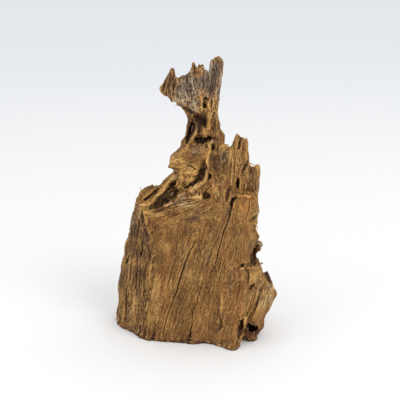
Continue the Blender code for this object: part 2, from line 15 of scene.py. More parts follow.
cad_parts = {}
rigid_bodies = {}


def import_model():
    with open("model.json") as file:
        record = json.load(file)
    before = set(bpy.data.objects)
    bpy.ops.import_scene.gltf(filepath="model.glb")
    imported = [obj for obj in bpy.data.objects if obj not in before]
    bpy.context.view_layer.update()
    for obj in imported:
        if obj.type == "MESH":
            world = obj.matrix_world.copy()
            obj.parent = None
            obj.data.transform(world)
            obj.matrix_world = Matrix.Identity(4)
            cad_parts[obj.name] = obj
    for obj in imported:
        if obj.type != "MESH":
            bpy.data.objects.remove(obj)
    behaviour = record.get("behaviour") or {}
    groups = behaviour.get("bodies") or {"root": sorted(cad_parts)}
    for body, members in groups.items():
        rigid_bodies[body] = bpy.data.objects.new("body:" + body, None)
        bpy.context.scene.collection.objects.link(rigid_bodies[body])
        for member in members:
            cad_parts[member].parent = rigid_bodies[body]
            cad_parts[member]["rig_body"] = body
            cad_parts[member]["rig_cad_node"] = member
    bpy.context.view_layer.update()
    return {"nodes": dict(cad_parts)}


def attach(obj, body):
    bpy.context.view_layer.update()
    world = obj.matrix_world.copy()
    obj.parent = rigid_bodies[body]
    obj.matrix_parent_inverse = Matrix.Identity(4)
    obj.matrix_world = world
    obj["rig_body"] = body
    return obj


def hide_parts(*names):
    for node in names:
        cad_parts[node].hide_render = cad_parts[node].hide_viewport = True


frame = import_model()
bpy.ops.object.select_all(action="DESELECT")

mm = 0.001
chance = np.random.default_rng(12)


# Camera

cameraSet = {
    "elevation": 16.0,  # degrees above level
    "distance": 0.72,  # metres from the aim
    "aim": (0.006, -0.0205, 0.124),  # metres
    "lens": 79.2,
    "sensor": 36.0,
}


def makeCamera():
    tilt = math.radians(cameraSet["elevation"])
    back = Vector((0, -math.cos(tilt), math.sin(tilt))) * cameraSet["distance"]
    bpy.ops.object.camera_add(
        location=Vector(cameraSet["aim"]) + back,
        rotation=(math.radians(90) - tilt, 0, 0),
    )
    camera = bpy.context.object
    camera.data.lens = cameraSet["lens"]
    camera.data.sensor_width = cameraSet["sensor"]
    camera.data.clip_end = 50
    bpy.context.scene.camera = camera
    return np.array(camera.location) / mm


eye = makeCamera()
print("camera stands at", eye.round(1))


# Hand tools

def useOnly(*items):
    bpy.ops.object.select_all(action="DESELECT")
    for item in items:
        item.select_set(True)
    bpy.context.view_layer.objects.active = items[0]


def applyModifier(item, kind, **settings):
    useOnly(item)
    modifier = item.modifiers.new(kind.lower(), kind)
    for name, value in settings.items():
        setattr(modifier, name, value)
    bpy.ops.object.modifier_apply(modifier=modifier.name)


def remesh(item, voxel):
    applyModifier(item, "REMESH", mode="VOXEL", voxel_size=voxel * mm)


def smooth(item, rounds):
    applyModifier(item, "SMOOTH", factor=0.5, iterations=rounds)


def joinAll(items, name):
    useOnly(*items)
    bpy.ops.object.join()
    items[0].name = name
    items[0].data.name = name
    return items[0]


def readRows(items, field, width, kind=float):
    # one field of all the points, edges or faces of a mesh, one row for each
    values = np.empty(width * len(items), kind)
    items.foreach_get(field, values)
    return values.reshape(-1, width)


def getPlaces(item):
    return readRows(item.data.vertices, "co", 3) / mm


def setPlaces(item, places):
    item.data.vertices.foreach_set("co", (places * mm).ravel())
    item.data.update()


def getNormals(item):
    return readRows(item.data.vertices, "normal", 3)


def getEdges(item):
    return readRows(item.data.edges, "vertices", 2, np.int32)


def faceCentres(item):
    return readRows(item.data.polygons, "center", 3) / mm


def blurred(values, edges, rounds):
    # each round moves every value halfway to the mean of its neighbours
    flat = values.reshape(len(values), -1).copy()
    count = np.bincount(edges.ravel(), minlength=len(flat))
    for _ in range(rounds):
        for axis in range(flat.shape[1]):
            column = flat[:, axis]
            total = np.bincount(edges[:, 0], column[edges[:, 1]], len(flat))
            total += np.bincount(edges[:, 1], column[edges[:, 0]], len(flat))
            flat[:, axis] = 0.5 * column + 0.5 * total / count
    return flat.reshape(values.shape)


def unit(vectors):
    return vectors / np.maximum(np.linalg.norm(vectors, axis=1), 1e-9)[:, None]


def softStep(low, high, values):
    share = np.clip((values - low) / (high - low), 0, 1)
    return share * share * (3 - 2 * share)


def softNoise(places, seed):
    # smooth noise from -1 to 1 over cells of size 1, in as many dimensions as places has
    size = places.shape[1]
    cell = np.floor(places)
    part = places - cell
    part = part * part * (3 - 2 * part)
    cell = cell.astype(np.int64)
    spread = np.array([73856093, 19349663, 83492791])[:size]
    total = np.zeros(len(places))
    for corner in range(2**size):
        step = np.array([(corner >> axis) & 1 for axis in range(size)])
        mixed = (cell + step) @ spread + 7919 * seed
        mixed = (mixed ^ (mixed >> 13)) * 1274126177
        mixed = (mixed ^ (mixed >> 16)) & 0xFFFF
        total += np.prod(np.where(step, part, 1 - part), axis=1) * (mixed / 32767.5 - 1)
    return total


# Marks are placed as the camera sees them: (x, z) on an upright plane through the front.

frontPlane = -20.5
fadesUnder = 0.3  # marks fade where the cosine of the wood's angle to the camera is smaller

markSet = {  # size, amount and seed of the wobble that shakes them, and how sharp their edges are
    "hollows": (2.6, 0.5, 1, 5),
    "ridges": (2.6, 0.5, 1, 3),
    "cracks": (3.2, 0.4, 24, 3),
}


def seenFromFront(places):
    share = (frontPlane - eye[1]) / (places[:, 1] - eye[1])
    return eye[[0, 2]] + share[:, None] * (places[:, [0, 2]] - eye[[0, 2]])


def facingFront(places, normals):
    return softStep(0.0, fadesUnder, np.sum(unit(eye - places) * normals, axis=1))


def shaken(seen, size, amount, seed):
    # the same places, shaken a little so that no mark has a clean edge
    wobble = [softNoise(seen / size, seed), softNoise(seen / size, seed + 1)]
    return seen + amount * np.column_stack(wobble)


def ovalGap(seen, x, z, halfWidth, halfHeight):
    # the squared distance from an oval's middle, which is 1 on the oval's edge
    return (((seen - (x, z)) / (halfWidth, halfHeight)) ** 2).sum(axis=1)


def strokeRatio(seen, path):
    # how far each place is from the stroke, in half widths of the stroke
    nearest = np.full(len(seen), 99.0)
    for start, end in zip(path, path[1:]):
        start = np.array(start, float)
        end = np.array(end, float)
        along = end[:2] - start[:2]
        share = np.clip((seen - start[:2]) @ along / (along @ along), 0, 1)
        gap = np.linalg.norm(seen - start[:2] - share[:, None] * along, axis=1)
        nearest = np.minimum(nearest, gap / (start[2] + share * (end[2] - start[2])))
    return nearest


def drawMarks(seen, facing, marks, size, amount, seed, sharpness):
    # the greatest height and colour at each place; a faint mark also has a softer edge
    seen = shaken(seen, size, amount, seed)
    heights = np.zeros(len(seen))
    colour = np.zeros(len(seen))
    for height, strength, *path in marks.values():
        corners = np.array(path)
        margin = 3 * corners[:, 2].max()
        low = corners[:, :2].min(axis=0) - margin
        high = corners[:, :2].max(axis=0) + margin
        near = np.flatnonzero(np.all((seen > low) & (seen < high), axis=1) & (facing > 0))
        edge = sharpness * min(1, 0.4 + strength)
        profile = facing[near] / (1 + strokeRatio(seen[near], path) ** edge)
        heights[near] = np.maximum(heights[near], height * profile)
        colour[near] = np.maximum(colour[near], strength * profile)
    return heights, colour


# The skin over all the solids

skinSet = {
    "grow": 0.2,  # closes the saw gaps before the skin is grown
    "firstVoxel": 0.8,
    "voxel": 0.5,
    "weld": 0.01,  # points nearer than this become one
    "softening": 9,  # rounds of smoothing before the marks are carved
    "blur": 6,  # rounds that even out the normals for the carving
    "slant": 0.5,  # hollows sink away from the camera, and by this share along the normal
}

hollows = {  # name: (depth, darkness, (x, z, half width), ...); the darkness is partly the wood's own dark inside and partly painted shade in the hollow
    "trough": (4, 0.2, (-35, 117, 1.5), (-31, 119.5, 2.6), (-26, 123, 3.4), (-21, 126.5, 3.6)),
    "trough end": (7, 0.6, (-22.5, 124, 2.1), (-19.5, 125.5, 3.3), (-16, 128, 3.4), (-13, 131.5, 1.9)),
    "trough floor": (3, 0.75, (-22, 125, 0.7), (-18.5, 128.5, 1.3), (-15, 131, 1.3), (-11, 131.5, 0.8)),
    "trough line": (0.8, 0.4, (-32.5, 119, 0.3), (-28, 122.5, 0.5), (-24.5, 125.5, 0.3)),
    "trough head": (8, 1.0, (-17.5, 136, 1.2), (-15.5, 138, 1.5), (-14, 139.5, 1)),
    "under head": (3, 0.6, (-19.5, 133.5, 0.6), (-17, 134.5, 0.8), (-13.5, 134, 0.7)),
    "upper slit": (4, 0.5, (-39.5, 124, 0.7), (-35.5, 126.5, 1.2), (-31, 130, 1.5), (-27, 133.5, 1),
        (-24.5, 135.5, 0.4)),
    "rim slit": (2.5, 0.45, (-40, 129.5, 0.4), (-36.5, 132.5, 0.6), (-31.5, 134, 0.5)),
    "long hollow": (8, 1.0, (10, 157, 0.6), (10, 150.5, 1.8), (8.5, 146, 1.8), (6.5, 142, 1.3),
        (2, 138.5, 1.1), (-2.5, 136, 0.9), (-6, 134, 0.5)),
    "under lip": (1.6, 0.15, (-16.5, 149.5, 0.7), (-14, 148, 1.6), (-12, 145, 1.6), (-12.5, 141, 1.1)),
    "lip edge": (2, 0.3, (-17, 150.5, 0.6), (-13.5, 150, 0.7), (-10, 149.5, 0.6)),
    "strip pocket": (5, 0.9, (13.5, 146.5, 0.6), (14, 144, 1.2), (13, 142, 0.7)),
    "pit": (6, 0.75, (9, 128, 1.6), (10.5, 127, 2.5), (12, 127.5, 2)),
    "finger gap 1": (2, 0.35, (-2, 129.5, 0.6), (-1, 127, 0.4)),
    "finger gap 2": (3, 0.7, (5, 130, 0.6), (5.5, 127, 0.4)),
    "under fingers": (1.4, 0.5, (-8.5, 123.5, 0.3), (-4, 124, 0.5), (2, 124.5, 0.4)),
    "drape wrinkle 1": (1.6, 0.5, (-5.5, 131.5, 0.5), (-4.5, 127.5, 0.4)),
    "drape wrinkle 2": (1.4, 0.4, (1, 134.5, 0.3), (3, 130.5, 0.4)),
    "neck cavity": (4, 0.35, (2.5, 193, 1.3), (5, 191.5, 2.6), (8.5, 189, 3.1), (9, 186, 1.8)),
    "cavity eye": (4, 0.9, (9, 190.5, 0.7), (10.5, 189, 1), (10, 187.5, 0.7)),
    "neck left slit": (6.2, 0.95, (1, 187, 0.8), (0, 183, 1.7), (-2, 178, 1.8), (-4, 174.5, 1.3),
        (-5, 171, 0.6)),
    "neck hole": (8, 0.6, (3.5, 175, 1.5), (5.5, 174, 2.5), (9, 174, 2.3), (12.5, 175, 1.6),
        (14, 175.5, 1)),
    "hole corner": (3, 0.9, (4, 175, 0.7), (5, 173, 1), (6.5, 171.5, 0.7)),
    "under knob": (1.6, 0.55, (15.5, 175.5, 0.4), (18, 175, 0.5), (21, 174, 0.4), (23, 174.5, 0.2)),
    "neck slit": (5, 0.65, (15.5, 171, 0.7), (16.5, 168.5, 1.1), (17, 166, 0.6)),
    "upper knot": (2.5, 0.6, (9.5, 207.5, 0.7), (11, 208, 0.6), (12, 206.5, 0.5)),
    "lower knot": (3.5, 0.65, (9, 203, 0.8), (10, 201.5, 1.1), (9, 200.5, 0.8)),
    "between knots": (1, 0.45, (9.5, 205.5, 0.5), (9, 204, 0.5)),
    "under panel": (2, 0.5, (-7, 200.5, 0.6), (-4, 198.5, 1.1), (-0.5, 196.5, 1.1), (1, 195, 0.7)),
    "basin": (2, 0.1, (17.5, 160, 2.9), (19, 154.5, 3.4), (21, 148.5, 3.4)),
    "grey dimple": (1.6, 0.45, (25, 162.5, 1.4), (25.5, 158, 1.6)),
    "rim spot": (2, 0.9, (29, 168.5, 0.7), (30, 168.5, 0.7)),
    "spire pocket": (4, 0.6, (38, 173.5, 0.6), (37.5, 170.5, 0.9), (37, 166.5, 0.7)),
    "spire gap": (4, 0.7, (39, 176.5, 0.7), (39, 174.5, 0.6)),
    "slot": (6, 0.7, (37, 142, 0.7), (36.5, 138.5, 1), (36, 135, 0.6)),
    "spire crevice": (3.5, 0.4, (44.5, 156.5, 0.8), (43, 154, 1), (41, 150, 0.6), (39.5, 144.5, 0.4)),
    "plate crevice": (5, 0.75, (35.5, 126, 0.6), (33, 125, 0.9), (31.5, 122.5, 0.8), (31.5, 119, 0.6)),
    "panel crevice": (3, 0.3, (30.5, 135, 0.7), (29.5, 131.5, 1), (28, 127, 1), (27.5, 124, 0.6)),
    "plate nick": (3, 0.3, (47.5, 106, 0.7), (50, 108, 1.3), (52.5, 110, 1)),
    "plate hole": (2.5, 0.8, (52.5, 104, 0.4), (52, 101, 0.5)),
    "right recess": (4.5, 0.4, (53, 87, 0.8), (51.5, 81, 1.7), (50, 75.5, 2.5), (50.5, 69.5, 2.6)),
    "recess line": (2, 0.75, (53.5, 86, 0.5), (51.5, 80, 0.7), (50, 73, 0.7), (49.5, 67.5, 0.5)),
    "prong stain": (0, 0.6, (66, 48.5, 1), (63.5, 55, 1.4), (61.5, 61, 1.6)),
    "root notch": (5, 0.7, (42.5, 68.5, 0.5), (41.5, 67, 1), (40.5, 66, 0.6)),
    "root cleft": (4, 0.6, (43.5, 65, 0.3), (44, 63, 0.4), (44.5, 61, 0.2)),
    "second cleft": (4.5, 0.65, (46, 63.5, 0.3), (46.5, 59.5, 0.5), (46.5, 55, 0.5), (46.5, 51, 0.3)),
    "root pocket": (4, 0.65, (52, 50, 0.5), (50, 48, 1.1), (48.5, 46, 0.8)),
    "knot hole": (12, 1.0, (49, 12, 2.4), (50.5, 10.5, 2.8)),
    "knot hollow": (3, 0.45, (44, 7.5, 1.8), (49, 5.5, 3.4), (54.5, 6, 2.8)),
    "flange slit": (3.6, 0.4, (42, 17, 1.1), (40.5, 12.5, 1.6), (39.5, 7, 1.5), (38, 2.5, 0.8)),
    "base notch": (3.5, 0.75, (-2, 7, 0.4), (-2.5, 3.5, 0.8), (-3, -1, 1.2)),
    "front notch": (2.4, 0.4, (23, 21.5, 0.5), (23.5, 16, 0.8), (24, 11.5, 1.1), (22.5, 9, 0.7)),
    "horn slit": (1.5, 0.4, (-13.5, 223, 0.6), (-14, 219, 0.7), (-15, 214.5, 0.6)),
    "flank notch": (3, 0.6, (-41.5, 88.5, 0.2), (-42, 83.5, 0.4), (-43, 77, 0.4), (-44, 74, 0.2)),
    "edge notch": (3, 0.85, (-53.5, 76, 0.3), (-54, 72.5, 0.5), (-55, 69, 0.3)),
    "flank corner": (2.5, 0.55, (-44.5, 14, 0.3), (-45.5, 7.5, 0.6), (-46.5, 3, 0.6)),
    # the corner steps are carved, and their darkness is a painted shadow along the front-left corner
    "corner step shadow 1": (1.6, 0.35, (-42, 110.5, 0.5), (-40.5, 102.5, 0.9)),
    "corner step shadow 2": (1.6, 0.35, (-40, 99, 0.6), (-38, 93, 0.8), (-37.5, 88.5, 0.5)),
    "corner step shadow 3": (1.6, 0.3, (-37.5, 84.5, 0.7), (-36, 78, 1.1), (-36, 73, 0.6)),
    "corner step shadow 4": (1.4, 0.35, (-39, 66.5, 0.5), (-41, 58.5, 0.7), (-42, 47, 0.4)),
    "flank line 1": (1.6, 0.6, (-51, 70, 0.3), (-52, 61, 0.5), (-52.5, 54, 0.3)),
    "flank line 2": (1.8, 0.6, (-46, 73.5, 0.3), (-47, 63, 0.5), (-47.5, 51.5, 0.4), (-47.5, 39.5, 0.3)),
    "flank line 3": (1.6, 0.55, (-38.5, 70, 0.3), (-39.5, 61, 0.6), (-40.5, 51.5, 0.5),
        (-41.5, 39.5, 0.3)),
    "flank line 4": (1.4, 0.5, (-55.5, 50.5, 0.3), (-56.5, 36, 0.4), (-57, 22.5, 0.3)),
    "flank line 5": (1.4, 0.5, (-45.5, 38, 0.3), (-46.5, 25, 0.5), (-47.5, 12, 0.3)),
}

ridges = {  # name: (height, paleness, (x, z, half width), ...); the paleness is partly paler weathered wood and partly a painted highlight along the lit edges
    "pale strip": (2.6, 0.6, (15.5, 173.5, 0.5), (14, 169, 0.7), (13, 164, 0.7), (11.5, 157, 0.7),
        (12, 150, 0.7), (11, 145, 0.9), (9, 140.5, 1.2), (5, 137, 1.6), (1, 134, 1.9),
        (-1.5, 131.5, 1.3)),
    "fold ridge": (2.6, 1.0, (-42.5, 119.5, 0.7), (-38, 120.5, 0.8), (-34.5, 122.5, 0.7),
        (-29.5, 126, 0.6), (-25.5, 131, 0.7), (-22, 136, 0.7), (-19.5, 139, 0.5)),
    "fold strand": (1.6, 0.6, (-28.5, 129.5, 0.3), (-25.5, 133.5, 0.4), (-22.5, 137, 0.4)),
    "outer rim": (2, 0.25, (-42, 129.5, 0.8), (-38, 133.5, 1), (-32.5, 135, 0.9), (-26.5, 137, 0.9),
        (-21.5, 140.5, 0.8)),
    "middle rim": (1.6, 0.5, (-38, 127, 0.6), (-33, 131, 0.7), (-28, 134, 0.7), (-24, 137.5, 0.6)),
    "golden ledge": (1.5, 0.35, (-42, 117.5, 1.6), (-39, 114.5, 2.3), (-35, 112.5, 2.6),
        (-29.5, 111.5, 2.5), (-24.5, 113, 2), (-22, 115, 1.1)),
    "petal edge": (2, 0.6, (-23, 119, 0.7), (-18.5, 121.5, 0.8), (-13.5, 124, 0.9), (-11, 127.5, 0.7)),
    "petal fibre 1": (0.8, 0.3, (-17, 120.5, 0.3), (-10.5, 122.5, 0.4), (-2, 124, 0.3)),
    "petal fibre 2": (0.7, 0.25, (-15.5, 118, 0.3), (-7, 120.5, 0.4), (2.5, 122.5, 0.3)),
    "inner strand": (2, 0.5, (-21.5, 133, 0.5), (-19, 130, 0.7), (-17.5, 127, 0.7)),
    "head strand": (2.2, 0.5, (-18, 137, 0.4), (-15.5, 139, 0.5), (-13, 140.5, 0.4)),
    "lump fold": (2.2, 0.7, (-10, 149.5, 0.9), (-8.5, 144.5, 1.1), (-9, 139.5, 1.1), (-11, 134.5, 1.1)),
    "lower lobe": (1.6, 0.5, (-5.5, 147.5, 2.6), (-0.5, 146.5, 3), (3, 147, 2.1)),
    "lobe foot": (4, 0.45, (-0.5, 143.5, 2.1), (-4.5, 140, 2), (-7, 137.5, 1.3)),
    "upper lobe": (1.2, 0.25, (-14.5, 157.5, 2.6), (-10, 156.5, 2.8), (-6, 155, 2.1)),
    "lump lip": (2, 0.5, (-18, 152.5, 0.9), (-14, 152.5, 1.1), (-10, 152, 1)),
    "left strand": (2.2, 0.3, (3, 184, 0.5), (2, 180, 0.7), (-1, 174, 1.3), (-5.5, 167, 1.6),
        (-10, 161.5, 1.3)),
    "neck tongue": (2, 0.5, (8.5, 183.5, 1.3), (10, 180.5, 1.5), (10.5, 177.5, 0.8)),
    "tongue edge": (1.4, 0.8, (12, 187, 0.3), (12, 183, 0.5), (11.5, 179, 0.3)),
    "column ridge": (1.6, 0.4, (13, 201.5, 1.3), (14.5, 197, 1.5), (13.5, 190.5, 1.3), (13, 182.5, 1)),
    "panel line": (1.2, 0.45, (-7.5, 203, 0.5), (-2.5, 201, 0.6), (1, 198.5, 0.7), (5, 196, 0.7)),
    "knot rim": (1.5, 0.6, (6.5, 209, 0.7), (7.5, 203.5, 0.7), (7, 198.5, 0.7)),
    "panel rim": (1.4, 0.55, (21, 166, 0.5), (22.5, 168.5, 0.7), (26, 169.5, 0.7), (29, 168, 0.7),
        (30.5, 165, 0.5), (30, 159.5, 0.4), (29.5, 152.5, 0.4)),
    "dimple rim": (1, 0.5, (23, 164, 0.4), (23, 159.5, 0.5), (24, 155, 0.4)),
    "spire ridge": (1.6, 0.4, (31.5, 164, 1), (32, 153.5, 1.1), (31.5, 142.5, 1.1), (31, 131, 0.8)),
    "spire rim": (1.6, 0.3, (43, 174, 0.7), (43.5, 166, 0.9), (42.5, 160, 0.7)),
    "slab edge": (1.4, 0.3, (46, 153, 0.6), (49.5, 153, 0.7), (54.5, 151, 0.7)),
    "plate top": (1.8, 0.6, (36, 127, 0.7), (43, 127, 0.7), (50, 126.5, 0.7)),
    "plate edge": (1.4, 0.4, (35.5, 125, 0.5), (34, 119, 0.7), (32, 112, 0.6)),
    "flange lip": (2, 1.0, (45, 20.5, 0.6), (43.5, 12, 0.7), (42, 4, 0.7), (40, -2.5, 0.6)),
    "flange fibre 1": (1.4, 0.6, (39, 16, 0.3), (38.5, 8.5, 0.4), (37.5, 1, 0.3)),
    "flange fibre 2": (1.2, 0.4, (41.5, 16, 0.2), (40.5, 4, 0.3)),
    "root shelf": (1.6, 0.5, (40, 64.5, 0.8), (43, 64.5, 0.7), (48.5, 64.5, 0.8), (54.5, 64.5, 0.8)),
    "recess edge": (1.2, 0.5, (53, 88.5, 0.4), (49.5, 81.5, 0.5), (47, 74.5, 0.5), (47, 69.5, 0.4)),
    "root inner ridge": (1.8, 0.4, (52, 43.5, 0.7), (49, 35, 0.9), (46, 26, 0.7)),
    "root middle ridge": (1.6, 0.3, (55, 48.5, 0.7), (53, 38.5, 0.9), (50, 26, 0.7)),
    "root outer ridge": (1.6, 0.6, (56.5, 62.5, 0.5), (60, 56, 0.6), (63, 51, 0.6), (68, 46, 0.7)),
    "root stripe 1": (0.8, 0.35, (63.5, 43.5, 0.4), (58.5, 30.5, 0.5), (54.5, 17.5, 0.4)),
    "root stripe 2": (0.7, 0.3, (60, 43.5, 0.3), (56, 31.5, 0.4), (52, 19.5, 0.3)),
    "root stripe 3": (0.8, 0.35, (66, 42.5, 0.3), (62, 31.5, 0.5), (57.5, 18.5, 0.4)),
    "slit ledge": (1, 0.5, (36.5, 17, 0.3), (40, 18.5, 0.4), (44.5, 21.5, 0.4)),
    "flank edge": (2, 0.6, (-32.5, 75.5, 0.4), (-35, 67.5, 0.7), (-36, 58.5, 0.6), (-36, 49.5, 0.6),
        (-38, 36, 0.5), (-41, 22.5, 0.7), (-43, 13, 0.5)),
    "front corner": (1.6, 0.55, (-41.5, 120.5, 0.6), (-39, 112, 0.7), (-37.5, 101.5, 0.7),
        (-34.5, 93, 0.4)),
    "flank gold line 1": (0.8, 0.4, (-53.5, 66.5, 0.3), (-54, 55, 0.3)),
    "flank gold line 2": (0.8, 0.4, (-49, 48, 0.3), (-49.5, 36, 0.4), (-50.5, 21.5, 0.3)),
    "gold column": (1, 0.3, (24, 41.5, 0.7), (24.5, 33.5, 1), (24, 25, 0.7)),
}

prongs = (  # (x, z) of root and tip as seen from the front, and half the thickness
    ((-15, 227), (-14.5, 232.5), 1.3), ((0.5, 228), (1, 236), 1.2), ((5.5, 228), (5, 235), 1.6),
    ((8, 227), (8.5, 234.5), 1.6), ((17, 235.5), (14.5, 238.5), 1.3), ((35.5, 171), (35.5, 178.5), 1.4),
    ((42, 169), (43, 175.5), 1.5), ((39, 168.5), (40.5, 175.5), 1.1), ((51, 85), (56.5, 88), 1.8),
    ((55, 86.5), (58, 88.5), 1.5), ((53, 65), (58.5, 70), 1.4), ((50, 78.5), (57, 84.5), 1.8),
    ((21, 182.5), (25.5, 178), 1.5), ((-17, 208.5), (-22, 210.5), 1.1),
    ((-21.5, 213), (-25, 212.5), 1.3), ((-21, 219), (-24.5, 217), 1.2), ((-6, 175), (-8.5, 171), 1.3),
    ((13.5, 168.5), (12.5, 172), 1.1), ((15, 168.5), (15.5, 176), 1),
)

stubs = (  # blunt ones, given in the same way
    ((66, 48), (61, 61.5), 2.2),
)

nudges = {  # name: ((x, z), (dx, dy, dz), reach)
    "left shoulder": ((-49, 113), (-1.2, 0, 0), 12),
    "shoulder corner": ((-46, 123), (-0.9, 0, 0), 8),
    "left chest": ((-52, 104), (-1.0, 0, 0), 9),
    "left waist": ((-60, 69), (-1, 0, 0), 9),
    "left side": ((-57, 85), (-0.9, 0, 0), 8),
    "left foot": ((-62, 12), (-1.4, -1, 0), 9),
    "root point": ((67, 38), (1.5, 0, 0), 12),
    "root tip": ((68, 43), (1.2, 0, 0), 7),
    "root side": ((64.5, 28), (1.2, 0, 0), 7),
    "root dip": ((61.5, 64), (-1.8, 0, -3.4), 7),
    "plate corner": ((53, 92), (4.8, 0, 0), 6),
    "recess side": ((55, 80), (2.6, 0, 0), 4),
    "plate side": ((54, 115), (0.9, 0, 0), 7),
    "plate dip": ((53, 100.5), (-1.7, 0, 0), 5),
    "gap below stub": ((57.5, 70.5), (-3.2, 0, 0), 5),
    "gap top": ((53.6, 73.8), (-4, 0, 0), 4),
    "front foot": ((0, -4), (0, -2.5, 0), 12),
    "front corner": ((31, -11), (0, -2.6, 0), 12),
    "flange foot": ((44, -5), (-1, 9, 0), 9),
    "knot foot": ((58, 3.5), (-3, 0, 0), 6.5),
    "knot side": ((59.5, 13), (1.4, 0, 0), 6),
    "low left": ((-64, 12), (-1.8, 0, 0), 6),
    "left base": ((-37, -2), (0, -2, 0), 8),
    "mid left": ((-64, 37), (1, 0, 0), 10),
    "shoulder slope": ((-28, 141), (1.2, 0, -3.4), 13),
    "lump side": ((-14.5, 166), (1.6, 0, 0), 8),
    "lip notch": ((-18, 147.5), (1.8, 0, 0), 3.6),
    "crown slope": ((-5.5, 230.5), (0.8, 0, -2.9), 6),
    "crown side": ((-2.4, 234), (1.4, 0, -1.5), 4),
    "crown dip": ((3.4, 233.5), (0, 0, -2.5), 2.8),
    "crown notch": ((12.4, 233), (0, 0, -7.4), 4.2),
    "horn top": ((17, 241), (0, 0, -1.3), 4),
    "horn side": ((23, 213), (-0.8, 0, 0), 8),
    "neck right": ((21.5, 187), (1, 0, 0), 5),
    "neck left": ((-5.5, 191), (1, 0, 0), 6),
    "neck foot": ((-9, 175), (-0.9, 0, 0), 5),
    "left horn low": ((-20.5, 207), (0, 0, 3), 6),
    "left horn tip": ((-16.4, 229.5), (0.4, 0, 0.7), 5),
    "left horn side": ((-25.5, 218.5), (0.9, 0, 0), 4.5),
    "slab top": ((48, 156.5), (0, 0, -4.2), 6),
    "slab corner": ((55.5, 152.5), (-1, 0, 0), 4),
    "spire top": ((42, 177), (0, 0, -2.0), 5),
    "spire side": ((45, 165), (-0.8, 0, 0), 8),
    "knob": ((26, 172), (0, 0, -1.4), 4),
}


def growSkin():
    # a copy of every solid, grown until the saw gaps close, then fused
    useOnly(frame["nodes"]["trunk"], *frame["nodes"].values())
    bpy.ops.object.duplicate()
    copies = list(bpy.context.selected_objects)
    for item in copies:
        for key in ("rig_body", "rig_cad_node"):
            del item[key]
        item.parent = None
    skin = joinAll(copies, "driftwood_skin")
    skin.data.materials.clear()
    bpy.ops.object.mode_set(mode="EDIT")
    bpy.ops.mesh.select_all(action="SELECT")
    bpy.ops.mesh.remove_doubles(threshold=skinSet["weld"] * mm)
    bpy.ops.object.mode_set(mode="OBJECT")
    applyModifier(skin, "DISPLACE", strength=skinSet["grow"] * mm, mid_level=0)
    remesh(skin, skinSet["firstVoxel"])
    smooth(skin, skinSet["softening"])
    remesh(skin, skinSet["voxel"])
    return skin


def nudgeSkin(skin):
    # a few soft pushes, as a grab brush gives them
    places = getPlaces(skin)
    seen = seenFromFront(places)
    for spot, push, reach in nudges.values():
        share = np.clip(1 - ((seen - spot) ** 2).sum(axis=1) / reach**2, 0, 1) ** 2
        places += share[:, None] * push
    places[:, 2] = np.maximum(places[:, 2], 0)
    setPlaces(skin, places)


def carveSkin(skin):
    places = getPlaces(skin)
    normals = unit(blurred(getNormals(skin), getEdges(skin), skinSet["blur"]))
    facing = facingFront(places, normals)
    seen = seenFromFront(places)
    raised, _ = drawMarks(seen, facing, ridges, *markSet["ridges"])
    sunk, _ = drawMarks(seen, facing, hollows, *markSet["hollows"])
    inward = unit(-unit(eye - places) - skinSet["slant"] * normals)
    setPlaces(skin, places + normals * raised[:, None] + inward * sunk[:, None])


spikeSet = {  # sides, thickness at the tip as a share, depth of the root in half thicknesses
    "prongs": (10, 0.35, 1.0),
    "stubs": (12, 0.8, 1.0),
    "strands": (7, 0.4, 1.6),
}


def addCone(build, middle, along, length, radius, tipShare, sides):
    # the middle and the length are in metres
    turn = along.to_track_quat("Z", "Y").to_matrix().to_4x4()
    bmesh.ops.create_cone(
        build,
        cap_ends=True,
        segments=sides,
        radius1=radius * mm,
        radius2=tipShare * radius * mm,
        depth=length,
        matrix=Matrix.Translation(middle) @ turn,
    )


def addSpikes(skin, spikes, sides, tipShare, sunk):
    # each spike is a thin cone from just inside the wood to its tip
    tree = BVHTree.FromObject(skin, bpy.context.evaluated_depsgraph_get())
    start = Vector(eye) * mm
    build = bmesh.new()
    for root, end, radius in spikes:
        ways = [(Vector((x, frontPlane, z)) * mm - start).normalized() for x, z in (root, end)]
        hit, _, _, reach = tree.ray_cast(start, ways[0])
        if hit is None:
            print("no wood under the spike at", *root)
            continue
        foot = hit + ways[0] * sunk * radius * mm
        tip = start + ways[1] * (reach + 0.6 * radius * mm)
        addCone(build, (foot + tip) / 2, tip - foot, (tip - foot).length, radius, tipShare, sides)
    return joinBuilt(skin, build)


def joinBuilt(skin, build):
    mesh = bpy.data.meshes.new("additions")
    build.to_mesh(mesh)
    build.free()
    additions = bpy.data.objects.new("additions", mesh)
    bpy.context.collection.objects.link(additions)
    return joinAll([skin, additions], "driftwood_skin")


skin = growSkin()
print("skin grown over the solids,", len(skin.data.vertices), "points")
nudgeSkin(skin)
carveSkin(skin)
skin = addSpikes(skin, prongs, *spikeSet["prongs"])
skin = addSpikes(skin, stubs, *spikeSet["stubs"])
remesh(skin, skinSet["voxel"])
smooth(skin, 1)
print("carved and fused again,", len(skin.data.vertices), "points")


# Grain: which way the fibres lean, in degrees to the right going up, and where

grainSet = {
    "ribs": (6.0, 12.0, 0.40),  # width, length in widths, height
    "furrows": (3.4, 9.0, 1.5),
    "furrowEdge": (0.05, 0.75),  # the noise where a furrow starts and where it is full
    "backFurrow": 1.6,  # the least share of furrows on the sides that face away
    "grooves": (2.0, 10.0, 0.45, 0.2),  # the same as ribs, and how thin
    "splits": (11.0, 60.0, 1.3, 0.035),
    "fibres": (1.05, 8.0, 0.17),
    "blotches": (5.0, 3.0),  # width, length in widths
    "ragged": (1.6, 1.1),  # size and height of the splintered broken ends
    "pores": (1.3, 0.12),  # size, depth
    "chips": (2.4, 1.3, 5.0),  # size, depth, and how high up the foot they go
    "base": 0.6,  # the flat base is lower than this
    "least": 0.02,  # an area with a smaller share of the mix is left out of it
}

